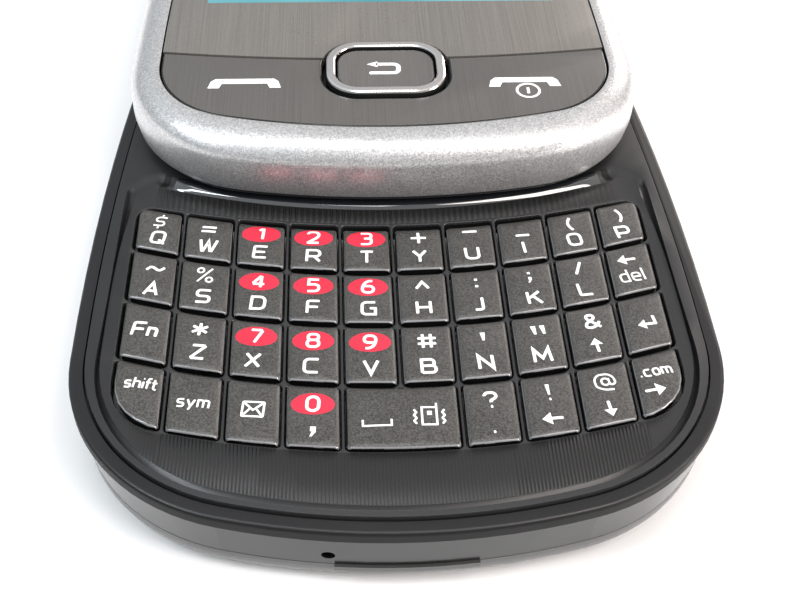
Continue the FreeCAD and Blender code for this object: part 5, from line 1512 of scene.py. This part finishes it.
studio = {
    "strength": 0.92, "tints": ((0.88, 0.95, 1.0), (1.0, 0.94, 0.91), (0.2, 0.8)),  # left, right, their span
    "rise": ((0.0, 0.6), (0.3, 1.0)),     # darker toward the horizon
    "middle": ((0.05, 0.5), (0.8, 1.0)),  # and between the two sides
    "seen": (1.08, 1.08, 1.08, 1)}        # looked at directly it is white


def makeWorld():
    world = bpy.data.worlds.new("studio")
    bpy.context.scene.world = world
    world.use_nodes = True
    tree = world.node_tree
    background = tree.nodes["Background"].inputs
    background["Strength"].default_value = studio["strength"]
    axes = placeOf(tree, "Generated")[1]
    tint = rampOf(tree, rangeOf(tree, axes["X"], (-1.0, 1.0), (0.0, 1.0)), *studio["tints"])
    rise = rangeOf(tree, axes["Z"], *studio["rise"])
    middle = rangeOf(tree, mathOf(tree, "ABSOLUTE", axes["X"]), *studio["middle"])
    level = mathOf(tree, "MULTIPLY", rise, middle)
    shaded = mixOf(tree, "RGBA", 1.0, tint, level, "MULTIPLY")
    direct = addNode(tree, "ShaderNodeLightPath").outputs["Is Camera Ray"]
    tree.links.new(mixOf(tree, "RGBA", direct, shaded, studio["seen"]), background["Color"])


def areaLight(name, place, size, power, colour=(1, 1, 1), target=(0, 0, 0)):
    data = bpy.data.lights.new(name, "AREA")
    data.shape = "RECTANGLE"
    data.size, data.size_y = size
    data.energy = power
    data.color = colour
    lamp = bpy.data.objects.new(name, data)
    bpy.context.scene.collection.objects.link(lamp)
    lamp.location = place
    lamp.rotation_euler = (Vector(target) - Vector(place)).to_track_quat("-Z", "Y").to_euler()


cameraSet = {"place": (-4.642, -120.988, 87.082), "down": 45.254, "turn": 3.687, "roll": 1.513,
             "lens": 56.25, "sensor": 36.0, "nearest": 0.005}


def makeCamera():
    # looks from beyond the bottom end, 45 degrees down
    down, turn, roll = (math.radians(cameraSet[name]) for name in ("down", "turn", "roll"))
    forward = Vector((math.sin(turn) * math.cos(down), math.cos(turn) * math.cos(down), -math.sin(down)))
    right = forward.cross(Vector((0, 0, 1))).normalized()
    up = right.cross(forward)
    axisX = right * math.cos(roll) + up * math.sin(roll)
    axisY = up * math.cos(roll) - right * math.sin(roll)
    data = bpy.data.cameras.new("camera")
    data.lens = cameraSet["lens"]
    data.sensor_width = cameraSet["sensor"]
    data.clip_start = cameraSet["nearest"]
    camera = bpy.data.objects.new("camera", data)
    bpy.context.scene.collection.objects.link(camera)
    turned = Matrix((axisX, axisY, -forward)).transposed().to_4x4()
    camera.matrix_world = Matrix.Translation(Vector(cameraSet["place"]) * millimetre) @ turned
    bpy.context.scene.camera = camera


makeFloor()
makeWorld()
coolTint, warmTint = (0.90, 0.96, 1.0), (1.0, 0.92, 0.88)
areaLight("top_light", (-0.03, -0.06, 0.7), (0.2, 0.2), 0.9)
areaLight("left_light", (-0.44, -0.18, 0.60), (0.14, 0.46), 2.6, coolTint)
areaLight("right_light", (0.33, -0.28, 0.66), (0.26, 0.40), 2.8, warmTint)
areaLight("low_right_light", (0.69, -0.26, 0.15), (0.3, 0.2), 5.5, warmTint, (0, 0, 0.01))
areaLight("far_right_light", (0.50, 0.62, 0.30), (0.3, 0.2), 1.6, warmTint)
makeCamera()
bpy.context.scene.view_settings.view_transform = "Standard"
